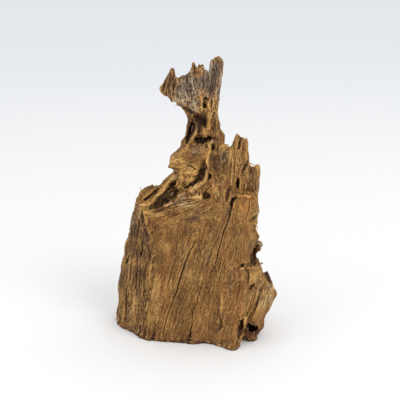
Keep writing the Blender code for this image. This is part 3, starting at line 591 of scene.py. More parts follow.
grainAreas = {  # name: (lean, furrow, streak, speck, (x, z, half width, half height), ...)
    "front": (15, 0.5, 1.35, 1.15, (0, 50, 60, 60)),
    "flank": (9, 2.4, 3.3, 2.0, (-58, 45, 18, 75)),
    "shoulder": (68, 0.6, 1.5, 1.3, (-5, 115, 20, 7), (-22, 110, 12, 6)),
    "petal": (74, 0.7, 2.7, 1.4, (-6, 122, 15, 5)),
    "trough": (47, 0.8, 2.8, 1.5, (-30, 124, 12, 8), (-20, 132, 7, 7)),
    "lump": (78, 0.3, 1.7, 1.3, (-6, 155, 13, 10)),
    "strip": (20, 0.2, 1.7, 1.4, (12, 158, 3, 16)),
    "panel": (4, 0.3, 2.7, 1.6, (22, 152, 7, 14)),
    "spire": (6, 0.7, 2.0, 1.1, (36, 158, 7, 22)),
    "plate": (10, 0.3, 1.5, 0.8, (44, 106, 11, 22)),
    "slab": (2, 0.5, 2.2, 0.8, (50, 139, 7, 14)),
    "neck": (5, 0.4, 2.1, 1.6, (8, 182, 18, 13)),
    "crown": (-9, 0.5, 3.6, 4.2, (-6, 210, 9, 14)),
    "column": (5, 0.5, 5.4, 3.2, (19, 223, 6, 17)),
    "knots": (40, 0.3, 2.2, 2.0, (7, 208, 5, 10)),
    "horn": (16, 0.8, 3.8, 2.2, (-20, 217, 6, 12)),
    "root": (23, 0.5, 2.0, 0.6, (57, 34, 12, 34)),
}


def grainPlaces(places, lean):
    turn = math.radians(lean)
    x, y, z = places.T
    across = x * math.cos(turn) - z * math.sin(turn)
    along = x * math.sin(turn) + z * math.cos(turn)
    return np.column_stack([across, y, along])


def longNoise(grain, width, length, seed):
    return softNoise(grain / (width, width, width * length), seed)


def areaWeights(seen):
    # a small area pulls harder than a broad one, so it shows inside it
    weights = []
    for _, _, _, _, *spots in grainAreas.values():
        pull = np.zeros(len(seen))
        for oval in spots:
            near = np.exp(-1.5 * ovalGap(seen, *oval))
            pull = np.maximum(pull, near * 30 / oval[2])
        weights.append(pull**2 + 1e-6)
    weights = np.array(weights)
    return weights / weights.sum(axis=0)


def furrowDepth(grain, share):
    width, length, height = grainSet["furrows"]
    cut = longNoise(grain, width, length, 12) + 0.5 * longNoise(grain, 0.5 * width, length, 13)
    cut *= 0.6 + 0.7 * longNoise(grain, 2 * width, 3, 14)
    return share * height * softStep(*grainSet["furrowEdge"], cut)


def grooveDepth(grain, furrow):
    width, length, height, thin = grainSet["grooves"]
    split = longNoise(grain, width, length, 15)
    split += 0.5 * longNoise(grain, 0.6 * width, length, 16)
    where = softStep(-0.1, 0.5, longNoise(grain, 8, 3, 17))
    return height * np.exp(-((split / thin) ** 2)) * where * (0.5 + 0.5 * furrow)


def splitLines(grain, away):
    width, length, _, thin = grainSet["splits"]
    line = np.exp(-((longNoise(grain, width, length, 27) / thin) ** 2))
    return line * (softStep(0, 0.3, longNoise(grain, 14, 3, 28)) * away)


def grainHeights(places, seen, away):
    # relief and colour strength of the grain; it is deeper on the sides that face away
    low, lines, fine, streak, speck = np.zeros((5, len(places)))
    torn = np.zeros((len(places), 3))
    for (lean, furrow, strong, dotted, *_), weight in zip(grainAreas.values(), areaWeights(seen)):
        here = np.flatnonzero(weight > grainSet["least"])
        share = weight[here]
        grain = grainPlaces(places[here], lean)
        width, length, height = grainSet["ribs"]
        ribs = height * longNoise(grain, width, length, 11)
        more = grainSet["backFurrow"] - min(furrow, grainSet["backFurrow"])
        ribs -= furrowDepth(grain, furrow + more * away[here])
        ribs -= grooveDepth(grain, furrow)
        line = splitLines(grain, away[here])
        ribs -= grainSet["splits"][2] * line
        lines[here] += share * line
        low[here] += share * ribs
        width, length, height = grainSet["fibres"]
        first = longNoise(grain, width, length, 18)
        second = longNoise(grain, 0.6 * width, 0.6 * length, 19)
        third = longNoise(grain, 2.2 * width, length, 20)
        fine[here] += share * height * (first + second) * (0.6 + 0.4 * strong)
        blotch = longNoise(grain, *grainSet["blotches"], 26)
        streak[here] += share * strong * (0.4 * first + 0.3 * second + 0.45 * third)
        streak[here] += share * (0.4 + 0.4 * strong) * blotch
        speck[here] += share * dotted
        size, height = grainSet["ragged"]
        shreds = softNoise(grain[:, :2] / size, 21) + 0.6 * softNoise(grain[:, :2] / (0.5 * size), 22)
        turn = math.radians(lean)
        torn[here] += (share * height * shreds)[:, None] * (math.sin(turn), 0, math.cos(turn))
    return low, fine, streak, speck, torn, lines


cracks = {  # name: (depth, darkness, (x, z, half width), ...)
    "left crack": (2.2, 0.8, (2.5, 93.5, 0.1), (1.5, 87, 0.3), (-3, 79, 0.4), (-8, 64.5, 0.4),
        (-13, 46.5, 0.4), (-17, 34.5, 0.3), (-21.5, 22.5, 0.3), (-25, 8, 0.3), (-25, 2, 0.2)),
    "right crack": (2.6, 0.8, (32.5, 124.5, 0.5), (32, 119.5, 0.5), (30, 109.5, 0.4), (25.5, 96, 0.3),
        (21, 78.5, 0.3), (19, 68.5, 0.1)),
    "middle crack": (1.8, 0.7, (9.5, 58.5, 0.1), (6, 45.5, 0.2), (3, 32.5, 0.2), (0.5, 26.5, 0.3),
        (-1, 13, 0.3), (-2.5, 6.5, 0.5)),
    "lump crack": (2.4, 0.9, (-4.5, 153, 0.2), (-2, 152.5, 0.3), (0, 151.5, 0.3), (2, 150, 0.2)),
    "pit crack": (2.5, 0.8, (15, 136.5, 0.2), (13, 134, 0.3), (10.5, 131, 0.3)),
    "front hair crack": (0.8, 0.35, (25, 69.5, 0.1), (23, 58.5, 0.2), (22, 48.5, 0.1)),
    "root crack 1": (2, 0.6, (53, 43.5, 0.2), (50, 37, 0.4), (48, 30.5, 0.3), (45.5, 22.5, 0.3)),
    "root crack 2": (1.2, 0.35, (57.5, 48.5, 0.2), (55.5, 38, 0.3), (52, 24, 0.2)),
    "root crack 3": (1.2, 0.35, (63.5, 45, 0.2), (60, 34, 0.3), (56, 19.5, 0.2)),
    "root crack 4": (1, 0.3, (60.5, 52.5, 0.2), (56, 36, 0.2), (53.5, 28.5, 0.2)),
    "plate line 1": (1, 0.4, (46.5, 125, 0.2), (46, 117, 0.3), (44, 107, 0.2)),
    "plate line 2": (0.9, 0.4, (40, 100, 0.2), (38, 89.5, 0.2), (35, 76.5, 0.2)),
    "slab line 1": (1.0, 0.4, (49, 136, 0.2), (48.5, 131.5, 0.3), (48, 128, 0.2)),
    "slab line 2": (1.0, 0.4, (45, 147.5, 0.2), (44.5, 139, 0.2), (44, 129, 0.2)),
    "slab line 3": (0.8, 0.35, (51.5, 147.5, 0.2), (51, 139, 0.2), (51, 131.5, 0.2)),
    "spire line": (1, 0.35, (34.5, 159.5, 0.2), (34, 149.5, 0.2), (33, 139, 0.2)),
    "crown line 1": (0.8, 0.6, (9, 225.5, 0.2), (8.5, 220, 0.3), (8.5, 215, 0.2)),
    "horn line 1": (0.8, 0.6, (12.5, 225.5, 0.2), (12, 219, 0.3), (11, 214.5, 0.2)),
    "horn line 2": (1, 0.75, (15.5, 230, 0.2), (15, 222.5, 0.3), (14.5, 213, 0.2)),
    "horn line 3": (0.8, 0.7, (17.5, 228.5, 0.2), (16.5, 219, 0.3), (16, 211, 0.2)),
    "horn line 4": (1, 0.75, (19, 236.5, 0.2), (18.5, 224, 0.3), (17.5, 211, 0.2)),
    "horn line 5": (0.8, 0.5, (21.5, 228.5, 0.2), (20.5, 217.5, 0.3), (20, 209, 0.2)),
    "left horn line 1": (1, 0.8, (-17, 228, 0.2), (-18, 220, 0.4), (-19, 213, 0.2)),
    "left horn line 2": (1, 0.8, (-15, 225.5, 0.2), (-14.5, 218.5, 0.4), (-15, 214.5, 0.2)),
    "left horn line 3": (1, 0.8, (-20.5, 223, 0.2), (-22, 217.5, 0.4), (-23, 213, 0.3)),
    "petal line 1": (1.2, 0.5, (-19.5, 119, 0.2), (-13.5, 121, 0.3), (-5.5, 123, 0.3),
        (2.5, 123.5, 0.2)),
    "petal line 2": (1.2, 0.45, (-18.5, 116.5, 0.2), (-10.5, 119, 0.3), (-2, 120.5, 0.3), (5, 122, 0.2)),
    "petal line 3": (1, 0.4, (-13.5, 122.5, 0.2), (-7, 124, 0.3), (-2, 125, 0.2)),
}

strands = (  # loose fibres, given in the same way
    ((-43.5, 126.5), (-46.5, 125.5), 0.6), ((-44.5, 121.5), (-47.5, 122), 0.6),
    ((-41.5, 128), (-42.5, 135), 0.7), ((-4.5, 201), (-9.5, 201), 0.7), ((-8, 201.5), (-12.5, 202), 0.7),
    ((-10.5, 203), (-13.5, 203), 0.7), ((51, 105), (54, 99), 0.7), ((51.5, 100), (54.5, 93.5), 0.7),
    ((45.5, 155), (50, 153.5), 0.7), ((50.5, 152), (52.5, 153), 0.7), ((1.5, 125.5), (1, 129.5), 1.4),
    ((6, 125), (8, 129), 1.1), ((-6.5, 132.5), (-9.5, 136), 0.7), ((-20, 126), (-17, 132), 1.3),
    ((-18, 127.5), (-16, 130.5), 0.9), ((-34.5, 119.5), (-29.5, 124), 0.7),
    ((-19, 134.5), (-13.5, 137), 0.5), ((-18, 133), (-13, 135), 0.5), ((47.5, 37), (50.5, 43.5), 0.4),
    ((49, 36.5), (52, 43), 0.4), ((50.5, 38.5), (53.5, 44.5), 0.4), ((4, 173), (6, 173.5), 0.7),
    ((8, 172), (10, 174.5), 1.1), ((7.5, 176.5), (9, 174.5), 0.6), ((51, 3), (52.5, 7.5), 0.7),
    ((48.5, 16), (51, 13.5), 0.6), ((-9, 201.5), (-7.5, 199), 0.7),
)


def addGrain(skin):
    edges = getEdges(skin)
    places = getPlaces(skin)
    normals = unit(blurred(getNormals(skin), edges, 2))
    seen = seenFromFront(places)
    onBase = (places[:, 2] < grainSet["base"]) & (normals[:, 2] < -0.6)

    facing = facingFront(places, normals)
    low, fine, _, _, torn, _ = grainHeights(places, seen, 1 - facing)
    size, depth = grainSet["pores"]
    pores = -depth * softStep(0.3, 0.8, softNoise(places / size, 23))
    moved = places + normals * (low + fine + pores)[:, None]
    moved += torn * softStep(0.45, 0.9, np.abs(normals[:, 2]))[:, None]

    sunk, _ = drawMarks(seen, facing, cracks, *markSet["cracks"])
    moved += unit(places - eye) * sunk[:, None]

    size, depth, top = grainSet["chips"]
    chips = softStep(0.1, 0.7, softNoise(places / size, 25)) * softStep(top, 0, places[:, 2])
    moved -= normals * (depth * chips * (1 - np.abs(normals[:, 2])))[:, None]
    moved[:, 2] = np.where(onBase, 0, np.maximum(moved[:, 2], 0))
    setPlaces(skin, moved)


looseSet = {
    "frays": 24,
    "frayedEnds": ((38, 176, 8), (49, 156, 6)),  # (x, z, reach)
    "frayLength": (0.9, 2.0),
    "frayWidth": (0.4, 0.6),
    "frayLean": (0.15, 0, 1),  # which way they point before they are scattered
    "frayScatter": 0.25,
    "frayTip": 0.4,  # thickness at the tip as a share
    "crumbs": 130,
    "crumbSize": (0.25, 1.0),
    "crumbStretch": 1.8,
    "crumbBand": (0.8, 5),  # heights on the foot between which crumbs stick
    "crumbFront": -42.4,  # y, in front of which there are none
}


def addLoosePieces(skin):
    # short frayed fibres on broken ends, and crumbs along the foot
    places = getPlaces(skin)
    normals = getNormals(skin)
    seen = seenFromFront(places)
    frayed = [((seen - spot[:2]) ** 2).sum(axis=1) < spot[2] ** 2 for spot in looseSet["frayedEnds"]]
    ends = np.flatnonzero((normals[:, 2] > 0.4) & np.any(frayed, axis=0))
    bottom, top = looseSet["crumbBand"]
    foot = (places[:, 2] > bottom) & (places[:, 2] < top) & (places[:, 1] > looseSet["crumbFront"])
    foot = np.flatnonzero(foot & (np.abs(normals[:, 2]) < 0.5))
    build = bmesh.new()
    for point in chance.choice(ends, looseSet["frays"]):
        length = chance.uniform(*looseSet["frayLength"])
        radius = chance.uniform(*looseSet["frayWidth"])
        scatter = Vector(chance.normal(0, looseSet["frayScatter"], 3))
        lean = scatter + Vector(looseSet["frayLean"]) + 0.4 * Vector(normals[point])
        place = Vector(places[point]) + lean.normalized() * 0.3 * length
        addCone(build, place * mm, lean, length * mm, radius, looseSet["frayTip"], 5)
    for point in chance.choice(foot, looseSet["crumbs"]):
        size = Vector(chance.uniform(*looseSet["crumbSize"], 3))
        size.z *= looseSet["crumbStretch"]
        turn = Euler(chance.uniform(-1.2, 1.2, 3))
        place = Vector(places[point]) + 0.2 * size.x * Vector(normals[point])
        place.z = max(place.z, max(size))
        bmesh.ops.create_icosphere(
            build,
            subdivisions=1,
            radius=mm,
            matrix=Matrix.LocRotScale(place * mm, turn, size),
        )
    return joinBuilt(skin, build)


patches = {  # colour: ((x, z, half width, half height, strength), ...)
    "golden": (
        (-52.5, 38.5, 2.5, 7.4, 0.6), (-28.5, 111.5, 4.9, 1.6, 0.6), (-29.5, 50.5, 2.5, 11.5, 0.4),
        (9, 213, 2.8, 2.5, 0.6), (17.5, 200, 2.8, 6.6, 0.5), (53, 61, 4.1, 4.1, 0.5),
        (-22, 84.5, 2.9, 4.9, 0.8), (-1.5, 58.5, 1.6, 5.7, 0.6), (-33, 42.5, 4.5, 15.6, 0.8),
        (-29.5, 19.5, 4.1, 5.7, 0.3), (24.5, 34, 1.3, 6.6, 0.6), (-36, 65, 2.5, 5.7, 0.5),
        (-2, 147, 6.6, 4.1, 0.6), (-12.5, 157.5, 4.9, 4.9, 0.6), (-12, 142.5, 3.3, 4.9, 1.1),
        (-37.5, 116, 4.9, 3.3, 1.1), (-36, 121, 4.1, 1.5, 0.9), (-28.5, 127, 2.5, 2.5, 0.9),
        (-22.5, 135, 2, 4.1, 0.6), (12.5, 200, 5.7, 7.4, 0.5), (-26.5, 128, 4.1, 5.7, 0.5),
        (16.5, 201.5, 3.3, 6.6, 0.6), (9, 181, 2.1, 2.8, 0.8), (12, 159.5, 2, 9.8, 0.6),
        (3.5, 126.5, 5.7, 2.1, 0.7), (53, 57, 6.6, 5.7, 0.75), (42, 59.5, 1.6, 6.6, 0.7),
        (31, 157.5, 1.8, 14.8, 0.4), (-39, 30.5, 2.8, 10.7, 0.85), (-40, 48, 2.1, 5.7, 0.7),
        (-31, 66.5, 2.5, 4.1, 0.5), (34.5, -9.5, 4.1, 1.6, 0.8), (-34, 9.5, 2.5, 3.3, 0.6),
        (-14.5, 28, 2.5, 5.7, 0.4), (49.5, 111, 2.5, 4.1, 0.5), (8.5, 194.5, 3.3, 3.3, 0.55),
        (49.5, 90.5, 2.5, 4.9, 0.8), (45, 41.5, 2.5, 6.6, 0.5), (-3, 142, 4.9, 3.8, 0.8),
        (-15, 142, 4.1, 4.9, 0.9), (63.5, 43.5, 4.9, 7.4, 0.5), (3, 222.5, 3.3, 4.9, 0.35),
        (16.5, 197, 2.5, 6.6, 0.8), (41, 91.5, 4.9, 7.4, 0.3), (26, 169, 4.9, 1.6, 0.9),
        (58.5, 39.5, 2.5, 8.2, 0.4), (-5.5, 117, 13.1, 2.5, 0.35), (-14.5, 211, 2.5, 2.5, 0.5),
        (18, 159.5, 4.1, 7.4, 0.35), (2.5, 109.5, 6.6, 2.5, 0.4), (28, 113, 4.1, 4.1, 0.35),
        (21, 92, 3.3, 6.6, 0.35), (7.5, 228.5, 3.3, 2.5, 0.35), (-30, 118.5, 3.3, 2.5, 0.35),
        # the golden spot at (-14.5, 140) is partly the lump's golden colour and partly painted light
        # lifting the shade under its lip
        (36.5, 158.5, 2.5, 4.9, 0.6), (-14.5, 140, 2, 2.5, 1.0),
    ),
    "orange": (
        (10, 213, 4.1, 3.3, 0.6), (13.5, 208, 2, 4.9, 0.5), (-12, 129.5, 2.1, 1.6, 0.3),
        (3.5, 227, 1.8, 3.3, 0.5), (8, 228, 1.3, 3.3, 0.3), (6.5, 209, 1.5, 2.8, 0.5),
        (12, 204, 1.5, 4.1, 0.4), (-13, 146, 2.5, 4.1, 0.6), (37.5, 171.5, 1.3, 2.8, 0.9),
        (43, 120.5, 7.4, 7.4, 0.55), (44, 101.5, 5.7, 8.2, 0.3), (58.5, 25, 3.3, 4.9, 0.5),
        (50, 43.5, 2.5, 4.1, 0.4), (26, 45, 7.4, 13.1, 0.25), (18, 4.5, 14.8, 7.4, 0.25),
        # the orange spot at (17.5, 156) is painted shade, warmer, on the panel's shaded side
        (39.5, 46, 3.3, 7.4, 0.45), (17.5, 156, 4.9, 9.8, 0.35), (2, 108.5, 4.9, 3.3, 0.4),
        (-48.5, 98, 3.3, 4.9, 0.4), (47.5, 139, 4.1, 7.4, 0.35),
    ),
    "red": (
        (6, 190.5, 5.7, 4.9, 0.8), (20.5, 175.5, 4.1, 2.5, 0.6), (9, 204, 2.5, 4.9, 0.5),
        (49, 4.5, 7.8, 5.7, 1.0), (41, 11, 2.8, 6.6, 0.7), (51, 75.5, 4.1, 7.4, 0.7),
        (-2.5, 3, 21.3, 5.7, 0.35), (-44.5, 5.5, 11.5, 4.9, 0.5), (30, 19.5, 7.4, 11.5, 0.3),
        (1.5, 109, 3.8, 2.1, 0.7), (-24, 131, 4.1, 2.5, 0.4), (-29, 121, 4.9, 3.3, 0.5),
        (-17, 226, 2.5, 5.7, 0.6),
    ),
    "grey": (
        (16.5, 224, 8.2, 13.9, 1.0), (-50, 107.5, 2.5, 8.2, 0.7), (-44, 110.5, 3.3, 7.4, 0.35),
        (-4, 219, 6.6, 8.2, 1.0), (1.5, 217.5, 4.9, 6.6, 0.9), (7, 220, 4.1, 5.7, 0.8),
        (11.5, 222.5, 4.9, 8.2, 0.9), (-17.5, 129, 2, 2.5, 0.9), (9, 173.5, 2.5, 2, 0.6),
        (-6.5, 213, 7.4, 9.8, 0.95), (0.5, 203, 4.1, 5.7, 0.8), (25.5, 160, 2.6, 3.6, 1.0),
        (-7, 121.5, 9, 3.3, 0.42), (39.5, 174, 2.5, 4.1, 0.4), (-5, 178, 2, 4.9, 0.35),
        (-63.5, 25, 2.5, 8.2, 0.3), (52.5, 136, 3.3, 4.9, 0.4), (-15.5, 121, 4.9, 1.6, 0.6),
        (3, 165, 5.7, 4.1, 0.35), (56.5, 85, 2.5, 2.5, 0.9), (58, 67.5, 1.6, 2.5, 0.8),
        (-53, 45, 6.6, 36.9, 0.2), (12, 74.5, 4.1, 7.4, 0.25), (5, 166.5, 4.9, 4.1, 0.4),
        (20.5, 214.5, 2.5, 6.6, 0.9), (50, 142.5, 4.1, 6.6, 0.3), (-46.5, 113.5, 3.3, 9.8, 0.3),
    ),
    "pale": (
        (1.5, 201.5, 3.3, 3.6, 0.6), (-11.5, 206.5, 5.7, 2.5, 0.5), (-4.5, 208, 4.1, 3.3, 0.3),
        (-8.5, 127.5, 4.1, 2, 0.45), (-10.5, 127, 3.3, 2, 0.4), (58.5, 32.5, 4.9, 13.1, 0.3),
        (65, 48, 2.8, 4.1, 0.55), (64.5, 37, 3.3, 5.7, 0.6), (53, 113, 1.6, 4.9, 0.4),
        (-46.5, 7.5, 0.7, 2.8, 0.6), (50, 40.5, 2.5, 3.3, 0.25), (15.5, 173.5, 0.8, 2.5, 0.6),
        # the pale spot at (-14.5, 142) is painted light lifting the shade under the lump's lip
        (5, 127.5, 3.3, 2, 0.45), (3.5, 213.5, 2.5, 3.3, 0.45), (-14.5, 142, 2, 2.5, 0.5),
        # the pale spot at (55, 86.5) is a painted highlight on the stub
        (1, 137.5, 2.5, 2.5, 0.45), (55, 86.5, 2, 1, 0.8), (-5.5, 119.5, 7.4, 1, 0.5),
        (56.5, 50.5, 2.5, 3.3, 0.4),
    ),
    "dark": (
        (-22.5, 216, 2, 6.6, 0.4), (0.5, 217.5, 2.5, 3.3, 0.25), (-4, 224.5, 3.3, 2.1, 0.7),
        (12.5, 219, 4.1, 7.4, 0.5), (18.5, 222.5, 3.3, 13.1, 0.5), (2, 108.5, 4.1, 2.5, 0.95),
        (26, 161, 2.5, 3.3, 0.85), (1, 185, 2.8, 4.1, 0.8), (-4, 187, 2.8, 11.5, 0.8),
        (6.5, 189.5, 4.1, 4.9, 0.8), (0, 8.5, 4.9, 7.4, 0.3), (24.5, 85, 3.3, 8.2, 0.3),
        (6, 184, 2.8, 3.3, 1.1), (-27, 115, 4.1, 1.8, 0.7), (-36.5, 134, 4.9, 2.5, 0.9),
        (-60.5, 57, 3.3, 9.8, 1.0), (23, 233.5, 1.5, 5.7, 0.9), (5.5, 113, 4.9, 3.3, 0.8),
        (31, 53, 3, 11.5, 0.7), (-55.5, 17.5, 4.1, 4.9, 0.7), (29.5, 113.5, 3.3, 9.8, 0.8),
        (4.5, 10.5, 3.3, 6.6, 0.5), (-11.5, 217.5, 2.5, 4.9, 0.7), (-15, 231, 2, 3.3, 0.9),
        (21.5, 215, 2.5, 6.6, 0.45), (1.5, 3, 6.6, 2.5, 0.4), (26.5, -3.5, 4.9, 2.5, 0.4),
        (31.5, 126.5, 2.5, 3.3, 0.45), (-6.5, 169, 2, 2.5, 0.6), (13.5, 150, 2.5, 4.1, 0.4),
        (26, 155, 2.5, 5.7, 1.0), (42.5, 147.5, 2.5, 6.6, 0.65), (-41.5, 107, 1.6, 4.1, 0.7),
        # the dark spot at (19.5, 157.5) is painted shade on the panel's shaded side
        (-37, 84.5, 2.5, 4.9, 0.6), (2, 58.5, 36.9, 49.2, 0.15), (19.5, 157.5, 6.6, 13.1, 0.5),
        (8.5, 186.5, 11.5, 11.5, 0.16), (-3.5, 198, 4.1, 2.5, 0.6), (-61.5, 15, 3.3, 2, 0.6),
        (42.5, 67, 2.5, 1.6, 0.4), (61.5, 60, 2.3, 3.8, 1.2), (63.5, 55.5, 1.8, 2.8, 1.0),
        (-49.5, 58.5, 8.2, 21.3, 0.25), (-7.5, 73.5, 2.5, 11.5, 0.55), (-18, 220.5, 3.6, 8.2, 0.95),
        (15.5, 159.5, 2.5, 5.7, 0.5), (19, 152.5, 2.8, 6.6, 0.7), (26.5, 151, 2.8, 4.9, 0.6),
        (-2, 155, 3.8, 4.1, 0.6), (5.5, 167.5, 3.3, 2.5, 0.5), (20.5, 8.5, 3.3, 4.9, 0.7),
        (20, 184, 2.5, 4.1, 0.8), (8.5, 232.5, 1.6, 2.5, 0.4), (-45.5, 101, 4.9, 4.1, 0.6),
        (-39.5, 91.5, 4.1, 6.6, 1.0), (-37, 79, 2.6, 5.7, 0.6), (-47, 96.5, 4.9, 5.7, 1.0),
        (-49.5, 80.5, 5.7, 8.2, 0.7), (-42.5, 75.5, 4.9, 7.4, 0.7), (-42, 60.5, 2.5, 4.9, 0.55),
        (-22.5, 126.5, 6.6, 4.1, 0.5), (22, 36, 2.1, 21.3, 0.3), (35.5, 57.5, 2.5, 7.4, 0.4),
        (3.5, -2.5, 34.4, 2, 0.6), (-53.5, 11, 10.7, 2.5, 0.6), (18, 188.5, 2.1, 4.9, 0.4),
        (-0.5, 107.5, 5.7, 3.3, 0.85), (11.5, 228.5, 2.5, 3.3, 0.5), (28.5, 101.5, 3.3, 5.7, 0.5),
        (2.5, 96.5, 4.9, 4.1, 0.45), (21, 88, 3.3, 5.7, 0.45), (7, 169, 2.5, 2.5, 0.6),
        (19, 172.5, 2.5, 4.1, 0.6), (-8.5, 201.5, 3.3, 2.5, 0.6), (55.5, 68.5, 2.5, 2.5, 0.5),
        (-4.5, 217, 3.6, 5.7, 0.5), (-3.5, 195, 3.3, 4.1, 0.5), (13, 217.5, 3.3, 9.8, 0.3),
    ),
}

veinAreas = ((-1.5, 216.5, 6.5, 9), (-6, 205, 8, 6))  # (x, z, half width, half height)


def addAttribute(item, name, values):
    layer = item.data.attributes.new(name, "FLOAT", "POINT")
    layer.data.foreach_set("value", np.clip(values, -2, 2).astype(np.float32))


toneSet = {
    "streak": 0.15,  # the first five say how strongly each cause moves the tone
    "low": 0.08,
    # the fine and broad relief tones paint shade into creases and hollows and highlight onto ridges
    "fineReliefShade": 0.27,
    "broadReliefShade": 0.14,
    # pale is the ridges' paleness, partly a painted highlight along their lit edges
    "pale": 0.42,
    "near": (4, 0.2),  # rounds of blur, and the relief against it that counts as 1
    "far": (40, 0.8),
    "most": 1.5,  # relief counts no more than this
    "facing": 24,  # rounds of blur
    "loose": 0.2,  # loose pieces are paler by this
    "looseStainAndShade": 0.1,  # they lie on top, so little of the stain and painted hollow shade reaches them
    "dots": 0.6,
    "veins": 0.5,
    "veinSizes": (1.7, 0.8, 1.1),  # the veins, their finer bends and the dots
    "ink": (2.2, 1.0, 0.6),  # two sizes of the noise in each colour's edge, the second's share
    "splitStain": 0.8,
    "footStain": 0.6,
    "footBand": (4.5, 0.5, 1.6),  # heights where that starts and is full, and its unevenness
    "fringe": 0.55,  # how frayed a colour's edge is
    "aside": 0.35,  # the share of a colour on the sides seen edge on
    "paleSpeck": 0.7,  # how far specks fade in the pale places
}


def reliefAgainst(places, blurredPlaces, normals, full):
    # used for the tone, this relief paints shade into creases and highlight onto ridges
    heights = np.sum((places - blurredPlaces) * normals, axis=1) / full
    return np.clip(heights, -toneSet["most"], toneSet["most"])


def inkOf(places):
    # broken noise that frays the edge of every colour
    coarse, fine, share = toneSet["ink"]
    return softNoise(places / coarse, 31) + share * softNoise(places / fine, 32)


def veined(seen):
    # dark veins and pale dots of the worm-eaten crown
    coarse, fine, dot = toneSet["veinSizes"]
    vein = np.abs(softNoise(seen / coarse, 33) + 0.4 * softNoise(seen / fine, 34))
    dots = toneSet["dots"] * softNoise(seen / dot, 35)
    return dots - toneSet["veins"] * softStep(0.3, 0.05, vein)


def paintSkin(skin, grown):
    # how pale or stained every point is, with painted shade in creases and hollows and painted
    # highlights on ridges, and which colours reach it
    edges = getEdges(skin)
    places = getPlaces(skin)
    normals = getNormals(skin)
    seen = seenFromFront(places)
    facing = facingFront(places, unit(blurred(normals, edges, toneSet["facing"])))
    # the ridges' paleness is partly paler wood and partly a painted highlight along their lit edges
    _, pale = drawMarks(seen, facing, ridges, *markSet["ridges"])
    _, deep = drawMarks(seen, facing, hollows, *markSet["hollows"])
    _, split = drawMarks(seen, facing, cracks, *markSet["cracks"])
    low, _, streak, speck, _, lines = grainHeights(places, seen, 1 - facing)
    # the fine and broad relief here are painted shade in creases and hollows and painted highlight on
    # ridges
    rounds, full = toneSet["near"]
    near = blurred(places, edges, rounds)
    fineReliefShade = reliefAgainst(places, near, normals, full)
    rounds, full = toneSet["far"]
    broadReliefShade = reliefAgainst(near, blurred(near, edges, rounds), normals, full)
    parts = {"streak": streak, "low": low, "fineReliefShade": fineReliefShade, "broadReliefShade": broadReliefShade, "pale": pale}
    tone = sum(toneSet[name] * values for name, values in parts.items())
    tone[grown:] += toneSet["loose"]
    veins = veined(seen)
    for oval in veinAreas:
        tone += facing * np.exp(-ovalGap(seen, *oval)) * veins
    addAttribute(skin, "tone", tone)
    ink = inkOf(places)
    start, end, uneven = toneSet["footBand"]
    footing = toneSet["footStain"] * softStep(start, end, places[:, 2] + uneven * ink)
    # the stain carries the hollows' darkness, which is partly painted shade in the hollows
    stain = np.max([deep, split, toneSet["splitStain"] * lines, footing], axis=0)
    stain[grown:] *= toneSet["looseStainAndShade"]
    addAttribute(skin, "stain", stain)
    aside = toneSet["aside"]
    for name, spots in patches.items():
        spread = np.zeros(len(places))
        for *oval, strength in spots:
            spread = np.maximum(spread, strength * np.exp(-0.7 * ovalGap(seen, *oval)))
        spread *= aside + (1 - aside) * np.sqrt(facing)
        addAttribute(skin, name, softStep(0.0, 0.9, spread * (1 + toneSet["fringe"] * ink)))
        if name == "pale":
            speck *= 1 - toneSet["paleSpeck"] * np.minimum(spread, 1)
    addAttribute(skin, "speck", speck)


addGrain(skin)
print("grain and cracks are in")
grownPoints = len(skin.data.vertices)
skin = addSpikes(skin, strands, *spikeSet["strands"])
skin = addLoosePieces(skin)
paintSkin(skin, grownPoints)
print("loose pieces added and colour areas painted")


# Shader wires

class Wire:
    # one shader socket; + - * between wires or with numbers adds a Math node

    def __init__(self, tree, socket=None):
        self.tree = tree
        self.socket = socket

    def node(self, kind, settings, values, output=0):
        made = self.tree.nodes.new(kind)
        for name, value in settings.items():
            if name == "stops":
                ramp = made.color_ramp
                while len(ramp.elements) < len(value):
                    ramp.elements.new(0.5)
                for element, (place, colour) in zip(ramp.elements, value):
                    element.position = place
                    element.color = (*colour, 1)
            else:
                setattr(made, name, value)
        for key, value in values.items():
            if isinstance(value, Wire):
                self.tree.links.new(value.socket, made.inputs[key])
            else:
                made.inputs[key].default_value = value
        return Wire(self.tree, made.outputs[output])

    def maths(self, operation, first, second):
        return self.node("ShaderNodeMath", {"operation": operation}, {0: first, 1: second})

    def __add__(self, other):
        return self.maths("ADD", self, other)

    def __sub__(self, other):
        return self.maths("SUBTRACT", self, other)

    def __mul__(self, other):
        return self.maths("MULTIPLY", self, other)

    __radd__ = __add__
    __rmul__ = __mul__

    def __rsub__(self, other):
        return self.maths("SUBTRACT", other, self)

    def limited(self):
        return self.node("ShaderNodeClamp", {}, {0: self})

    def mixed(self, share, first, second):
        colours = {6: first, 7: second}
        for key, value in colours.items():
            if isinstance(value, tuple):
                colours[key] = (*value, 1)
        return self.node("ShaderNodeMix", {"data_type": "RGBA"}, {0: share, **colours}, 2)


def newMaterial(name):
    material = bpy.data.materials.new(name)
    material.use_nodes = True
    tree = material.node_tree
    return material, tree, tree.nodes["Principled BSDF"]


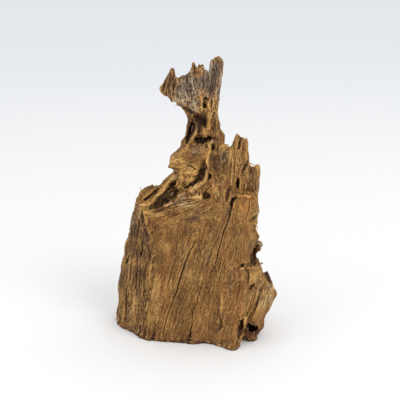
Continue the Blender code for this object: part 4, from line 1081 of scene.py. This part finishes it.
woodFinish = {
    "deep": (0.040, 0.016, 0.006),
    "brown": (0.20, 0.095, 0.024),
    "light": (0.54, 0.325, 0.102),
    "redder": (1.04, 0.94, 0.90),
    "golden": (0.46, 0.264, 0.08),
    "orange": (0.36, 0.155, 0.036),
    "red": (0.145, 0.052, 0.022),
    "grey": (0.195, 0.155, 0.118),
    "pale": (0.55, 0.40, 0.22),
    "dark": (0.075, 0.038, 0.017),
    # the stain colour also paints the shade inside the hollows
    "stain": (0.036, 0.015, 0.009),
    "streaks": (1300, 3, 0.6),  # scale, detail and roughness of each noise
    "flecks": (820, 2),
    "clouds": (70, 3),
    "hues": (120, 2),
    "crowd": (150, 1),
    "stretch": 0.25,  # streaks and hues run upright
    "middle": 0.42,  # the tone of plain brown wood
    "patchCover": 0.85,
    "roughness": 0.84,
    "unevenness": 0.2,
    "bump": 0.35,
    "bumpDepth": 0.25,
    "specular": 0.3,
}


def woodMaterial():
    material, tree, surface = newMaterial("weathered_wood")
    start = Wire(tree)

    def mark(name):
        return start.node("ShaderNodeAttribute", {"attribute_name": name}, {}, "Fac")

    def noise(place, scale, detail, roughness=0.5):
        values = {"Vector": place, "Scale": scale, "Detail": detail, "Roughness": roughness}
        return start.node("ShaderNodeTexNoise", {}, values)

    place = start.node("ShaderNodeTexCoord", {}, {}, "Object")
    scale = (1, 1, woodFinish["stretch"])
    stretched = start.node("ShaderNodeMapping", {}, {"Vector": place, "Scale": scale})
    streaks = noise(stretched, *woodFinish["streaks"])
    flecks = noise(place, *woodFinish["flecks"])
    clouds = noise(place, *woodFinish["clouds"])
    hues = noise(stretched, *woodFinish["hues"])
    crowd = noise(place, *woodFinish["crowd"])

    tone = (
        woodFinish["middle"]
        + mark("tone")
        + mark("speck") * ((flecks - 0.5) * (crowd * 3 - 0.7) + (streaks - 0.5) * 0.8)
        + (clouds - 0.5) * 0.45
    ).limited()
    stops = [
        (0.0, woodFinish["deep"]),
        (woodFinish["middle"], woodFinish["brown"]),
        (1.0, woodFinish["light"]),
    ]
    colour = start.node("ShaderNodeValToRGB", {"stops": stops}, {"Fac": tone})
    redder = start.node(
        "ShaderNodeVectorMath", {"operation": "MULTIPLY"}, {0: colour, 1: woodFinish["redder"]}
    )
    colour = start.mixed((hues * 5 - 2).limited(), colour, redder)
    shade = 0.25 + tone * 1.6
    for name in patches:
        area = start.node(
            "ShaderNodeVectorMath", {"operation": "SCALE"}, {0: woodFinish[name], "Scale": shade}
        )
        colour = start.mixed(mark(name) * woodFinish["patchCover"], colour, area)
    # the stain mix paints the dark of cracks and hollows, and with it painted shade in the hollows
    stain = (mark("stain") * (0.75 + flecks * 0.8)).limited()
    colour = start.mixed(stain, colour, woodFinish["stain"])
    tree.links.new(colour.socket, surface.inputs["Base Color"])

    rough = woodFinish["roughness"] + (streaks - 0.5) * woodFinish["unevenness"]
    tree.links.new(rough.socket, surface.inputs["Roughness"])
    relief = start.node(
        "ShaderNodeBump",
        {},
        {
            "Strength": woodFinish["bump"],
            "Distance": woodFinish["bumpDepth"] * mm,
            "Height": streaks + flecks * 0.5,
        },
    )
    tree.links.new(relief.socket, surface.inputs["Normal"])
    surface.inputs["Specular IOR Level"].default_value = woodFinish["specular"]
    return material


useOnly(skin)
bpy.ops.object.shade_smooth()
skin.data.materials.clear()
skin.data.materials.append(woodMaterial())
print("wood finish made")


# The skin is split where the solids are, and the trunk again to keep its pieces small.

forks = {  # (x, z) lines and single heights
    "root": ((33.3, -8), (38.9, 14), (43.5, 40), (41.5, 70.4)),
    "neck": ((-40, 170.3), (-5.7, 168), (27.5, 160.5)),
    "spire": ((28.2, 154), (47.5, 141.5)),
    "crown": ((-30, 186.5), (40, 191.5)),
    "leftHorn": ((-16.2, 190), (-11.7, 240)),
    "rightHorn": ((11.7, 224), (40.3, 214)),
    "rootBack": 17.5,
    "rootTop": 70.4,
    "trunk": (20, 48, 76, 104),
    "shoulderBack": 2,
}
trunkParts = ("foot", "shin", "waist", "chest", "shoulder", "back")
greyNodes = ("right_horn", "crown")


def heightOn(line, x):
    return np.interp(x, [point[0] for point in line], [point[1] for point in line])


def sideOf(line, z):
    return np.interp(z, [point[1] for point in line], [point[0] for point in line])


def pieceMasks(centres):
    x, y, z = centres.T
    upper = (z > heightOn(forks["neck"], x)) & (x < forks["neck"][2][0])
    crowned = upper & (z > heightOn(forks["crown"], x))
    leftHorn = crowned & (x < sideOf(forks["leftHorn"], z))
    rightHorn = crowned & (x > forks["rightHorn"][0][0]) & (z > heightOn(forks["rightHorn"], x))
    spire = (x > forks["spire"][0][0]) & (x < forks["spire"][1][0])
    spire &= (z > heightOn(forks["spire"], x)) & ~upper
    root = (x > sideOf(forks["root"], z)) & (z < forks["rootTop"]) & (y < forks["rootBack"])
    trunk = ~(upper | spire | root)
    masks = {
        "side_root": root,
        "right_spire": spire,
        "neck": upper & ~crowned,
        "left_horn": leftHorn,
        "right_horn": rightHorn,
        "crown": crowned & ~leftHorn & ~rightHorn,
    }
    # the trunk's parts are told apart by height, and its back lies behind the shoulder
    level = np.searchsorted(forks["trunk"], z)
    shoulder = trunkParts.index("shoulder")
    level[(level == shoulder) & (y > forks["shoulderBack"])] = trunkParts.index("back")
    for number, part in enumerate(trunkParts):
        masks["trunk_" + part] = trunk & (level == number)
    return masks


def splitSkin(skin):
    # the masks are worked out again for every piece, because each split renumbers the faces
    pieces = {}
    for name in pieceMasks(faceCentres(skin)):
        mask = pieceMasks(faceCentres(skin))[name]
        if mask.all():
            piece = skin
        else:
            useOnly(skin)
            skin.data.polygons.foreach_set("select", mask)
            skin.data.edges.foreach_set("select", np.zeros(len(skin.data.edges), bool))
            skin.data.vertices.foreach_set("select", np.zeros(len(skin.data.vertices), bool))
            bpy.ops.object.mode_set(mode="EDIT")
            bpy.ops.mesh.select_mode(type="FACE")
            bpy.ops.mesh.separate(type="SELECTED")
            bpy.ops.object.mode_set(mode="OBJECT")
            piece = [item for item in bpy.context.selected_objects if item != skin][0]
        piece.name = name + "_wood"
        piece.data.name = piece.name
        pieces[name] = piece
    return pieces


cutSet = {
    "turnIn": 0.8,  # how far the rim goes straight into the wood
    "drawIn": 0.5,  # the share of the way to the rim's centre after that
}


def ringInward(build, rim):
    # a second edge all along the rim, and its points
    made = bmesh.ops.extrude_edge_only(build, edges=rim)["geom"]
    points = [item for item in made if isinstance(item, bmesh.types.BMVert)]
    return [item for item in made if isinstance(item, bmesh.types.BMEdge)], points


def closeCuts(piece):
    # the rim left by the split is turned sharply inward, drawn towards its own centre and
    # closed there, so that neither the seam nor the cap shows
    build = bmesh.new()
    build.from_mesh(piece.data)
    rim = [edge for edge in build.edges if edge.is_boundary]
    outward = {}
    for edge in rim:
        edge.smooth = False
        for point in edge.verts:
            outward[point] = point.normal.copy()
    rim, points = ringInward(build, rim)
    for point in points:
        old = [edge.other_vert(point) for edge in point.link_edges]
        old = [other for other in old if other in outward]
        point.co -= outward[old[0]] * cutSet["turnIn"] * mm
    rim, points = ringInward(build, rim)
    points = dict.fromkeys(points)  # unlike a set it keeps its order, so each run is the same
    while points:
        waiting = [points.popitem()[0]]
        loop = []
        while waiting:
            point = waiting.pop()
            loop.append(point)
            near = [edge.other_vert(point) for edge in point.link_edges]
            near = [other for other in near if other in points]
            for other in near:
                del points[other]
            waiting.extend(near)
        centre = sum((point.co for point in loop), Vector()) / len(loop)
        for point in loop:
            point.co = point.co.lerp(centre, cutSet["drawIn"])
    bmesh.ops.holes_fill(build, edges=rim, sides=0)
    bmesh.ops.recalc_face_normals(build, faces=build.faces)
    build.to_mesh(piece.data)
    build.free()


for name, piece in splitSkin(skin).items():
    closeCuts(piece)
    node = "trunk" if name.startswith("trunk") else name
    slot = "grey_wood" if node in greyNodes else "brown_wood"
    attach(piece, "root")
    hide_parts(node)
    triangles = sum(len(face.vertices) - 2 for face in piece.data.polygons)
    print(piece.name, "has", triangles, "triangles")


# Floor, light and surroundings

studioSet = {
    "near": (0.93, 0.935, 0.94),
    # far is darker and bluer: painted shade of the light falling off towards the back
    "far": (0.875, 0.9, 0.94),
    "fadeFrom": 0.3,  # metres behind the wood
    "fadeTo": 1.9,
    "sky": (1.0, 1.0, 1.0),
    "skyStrength": 0.88,
    "keyPower": 11.0,
    "keySize": 0.8,
    "keyPlace": (0.9, -1.05, 1.35),
    "fillPower": 2.4,
    "fillPlace": (-1.2, -0.8, 0.7),
    "lightAim": (0, 0, 0.11),
    "floorSize": 24,
    "floorRoughness": 0.9,
    "floorSpecular": 0.1,
}


def makeFloor():
    bpy.ops.mesh.primitive_plane_add(size=studioSet["floorSize"])
    floor = bpy.context.object
    floor.name = "studio_floor"
    material, tree, surface = newMaterial("pale_floor")
    start = Wire(tree)
    place = start.node("ShaderNodeTexCoord", {}, {}, "Object")
    depth = start.node("ShaderNodeSeparateXYZ", {}, {0: place}, "Y")
    fade = start.node(
        "ShaderNodeMapRange",
        {"interpolation_type": "SMOOTHSTEP"},
        {"Value": depth, "From Min": studioSet["fadeFrom"], "From Max": studioSet["fadeTo"]},
    )
    # the floor is painted darker and bluer further back, as painted shade of the falling light
    colour = start.mixed(fade, studioSet["near"], studioSet["far"])
    tree.links.new(colour.socket, surface.inputs["Base Color"])
    surface.inputs["Roughness"].default_value = studioSet["floorRoughness"]
    surface.inputs["Specular IOR Level"].default_value = studioSet["floorSpecular"]
    floor.data.materials.append(material)


def makeLight(name, place, power, size):
    aim = Vector(studioSet["lightAim"]) - Vector(place)
    bpy.ops.object.light_add(
        type="AREA", location=place, rotation=aim.to_track_quat("-Z", "Y").to_euler()
    )
    light = bpy.context.object
    light.name = name
    light.data.energy = power
    light.data.size = size


def makeSky():
    world = bpy.data.worlds.new("studio")
    world.use_nodes = True
    background = world.node_tree.nodes["Background"]
    background.inputs["Color"].default_value = (*studioSet["sky"], 1)
    background.inputs["Strength"].default_value = studioSet["skyStrength"]
    bpy.context.scene.world = world


makeFloor()
makeLight("key_light", studioSet["keyPlace"], studioSet["keyPower"], studioSet["keySize"])
makeLight("fill_light", studioSet["fillPlace"], studioSet["fillPower"], studioSet["keySize"])
makeSky()
bpy.context.scene.view_settings.view_transform = "Standard"
print("studio set up")
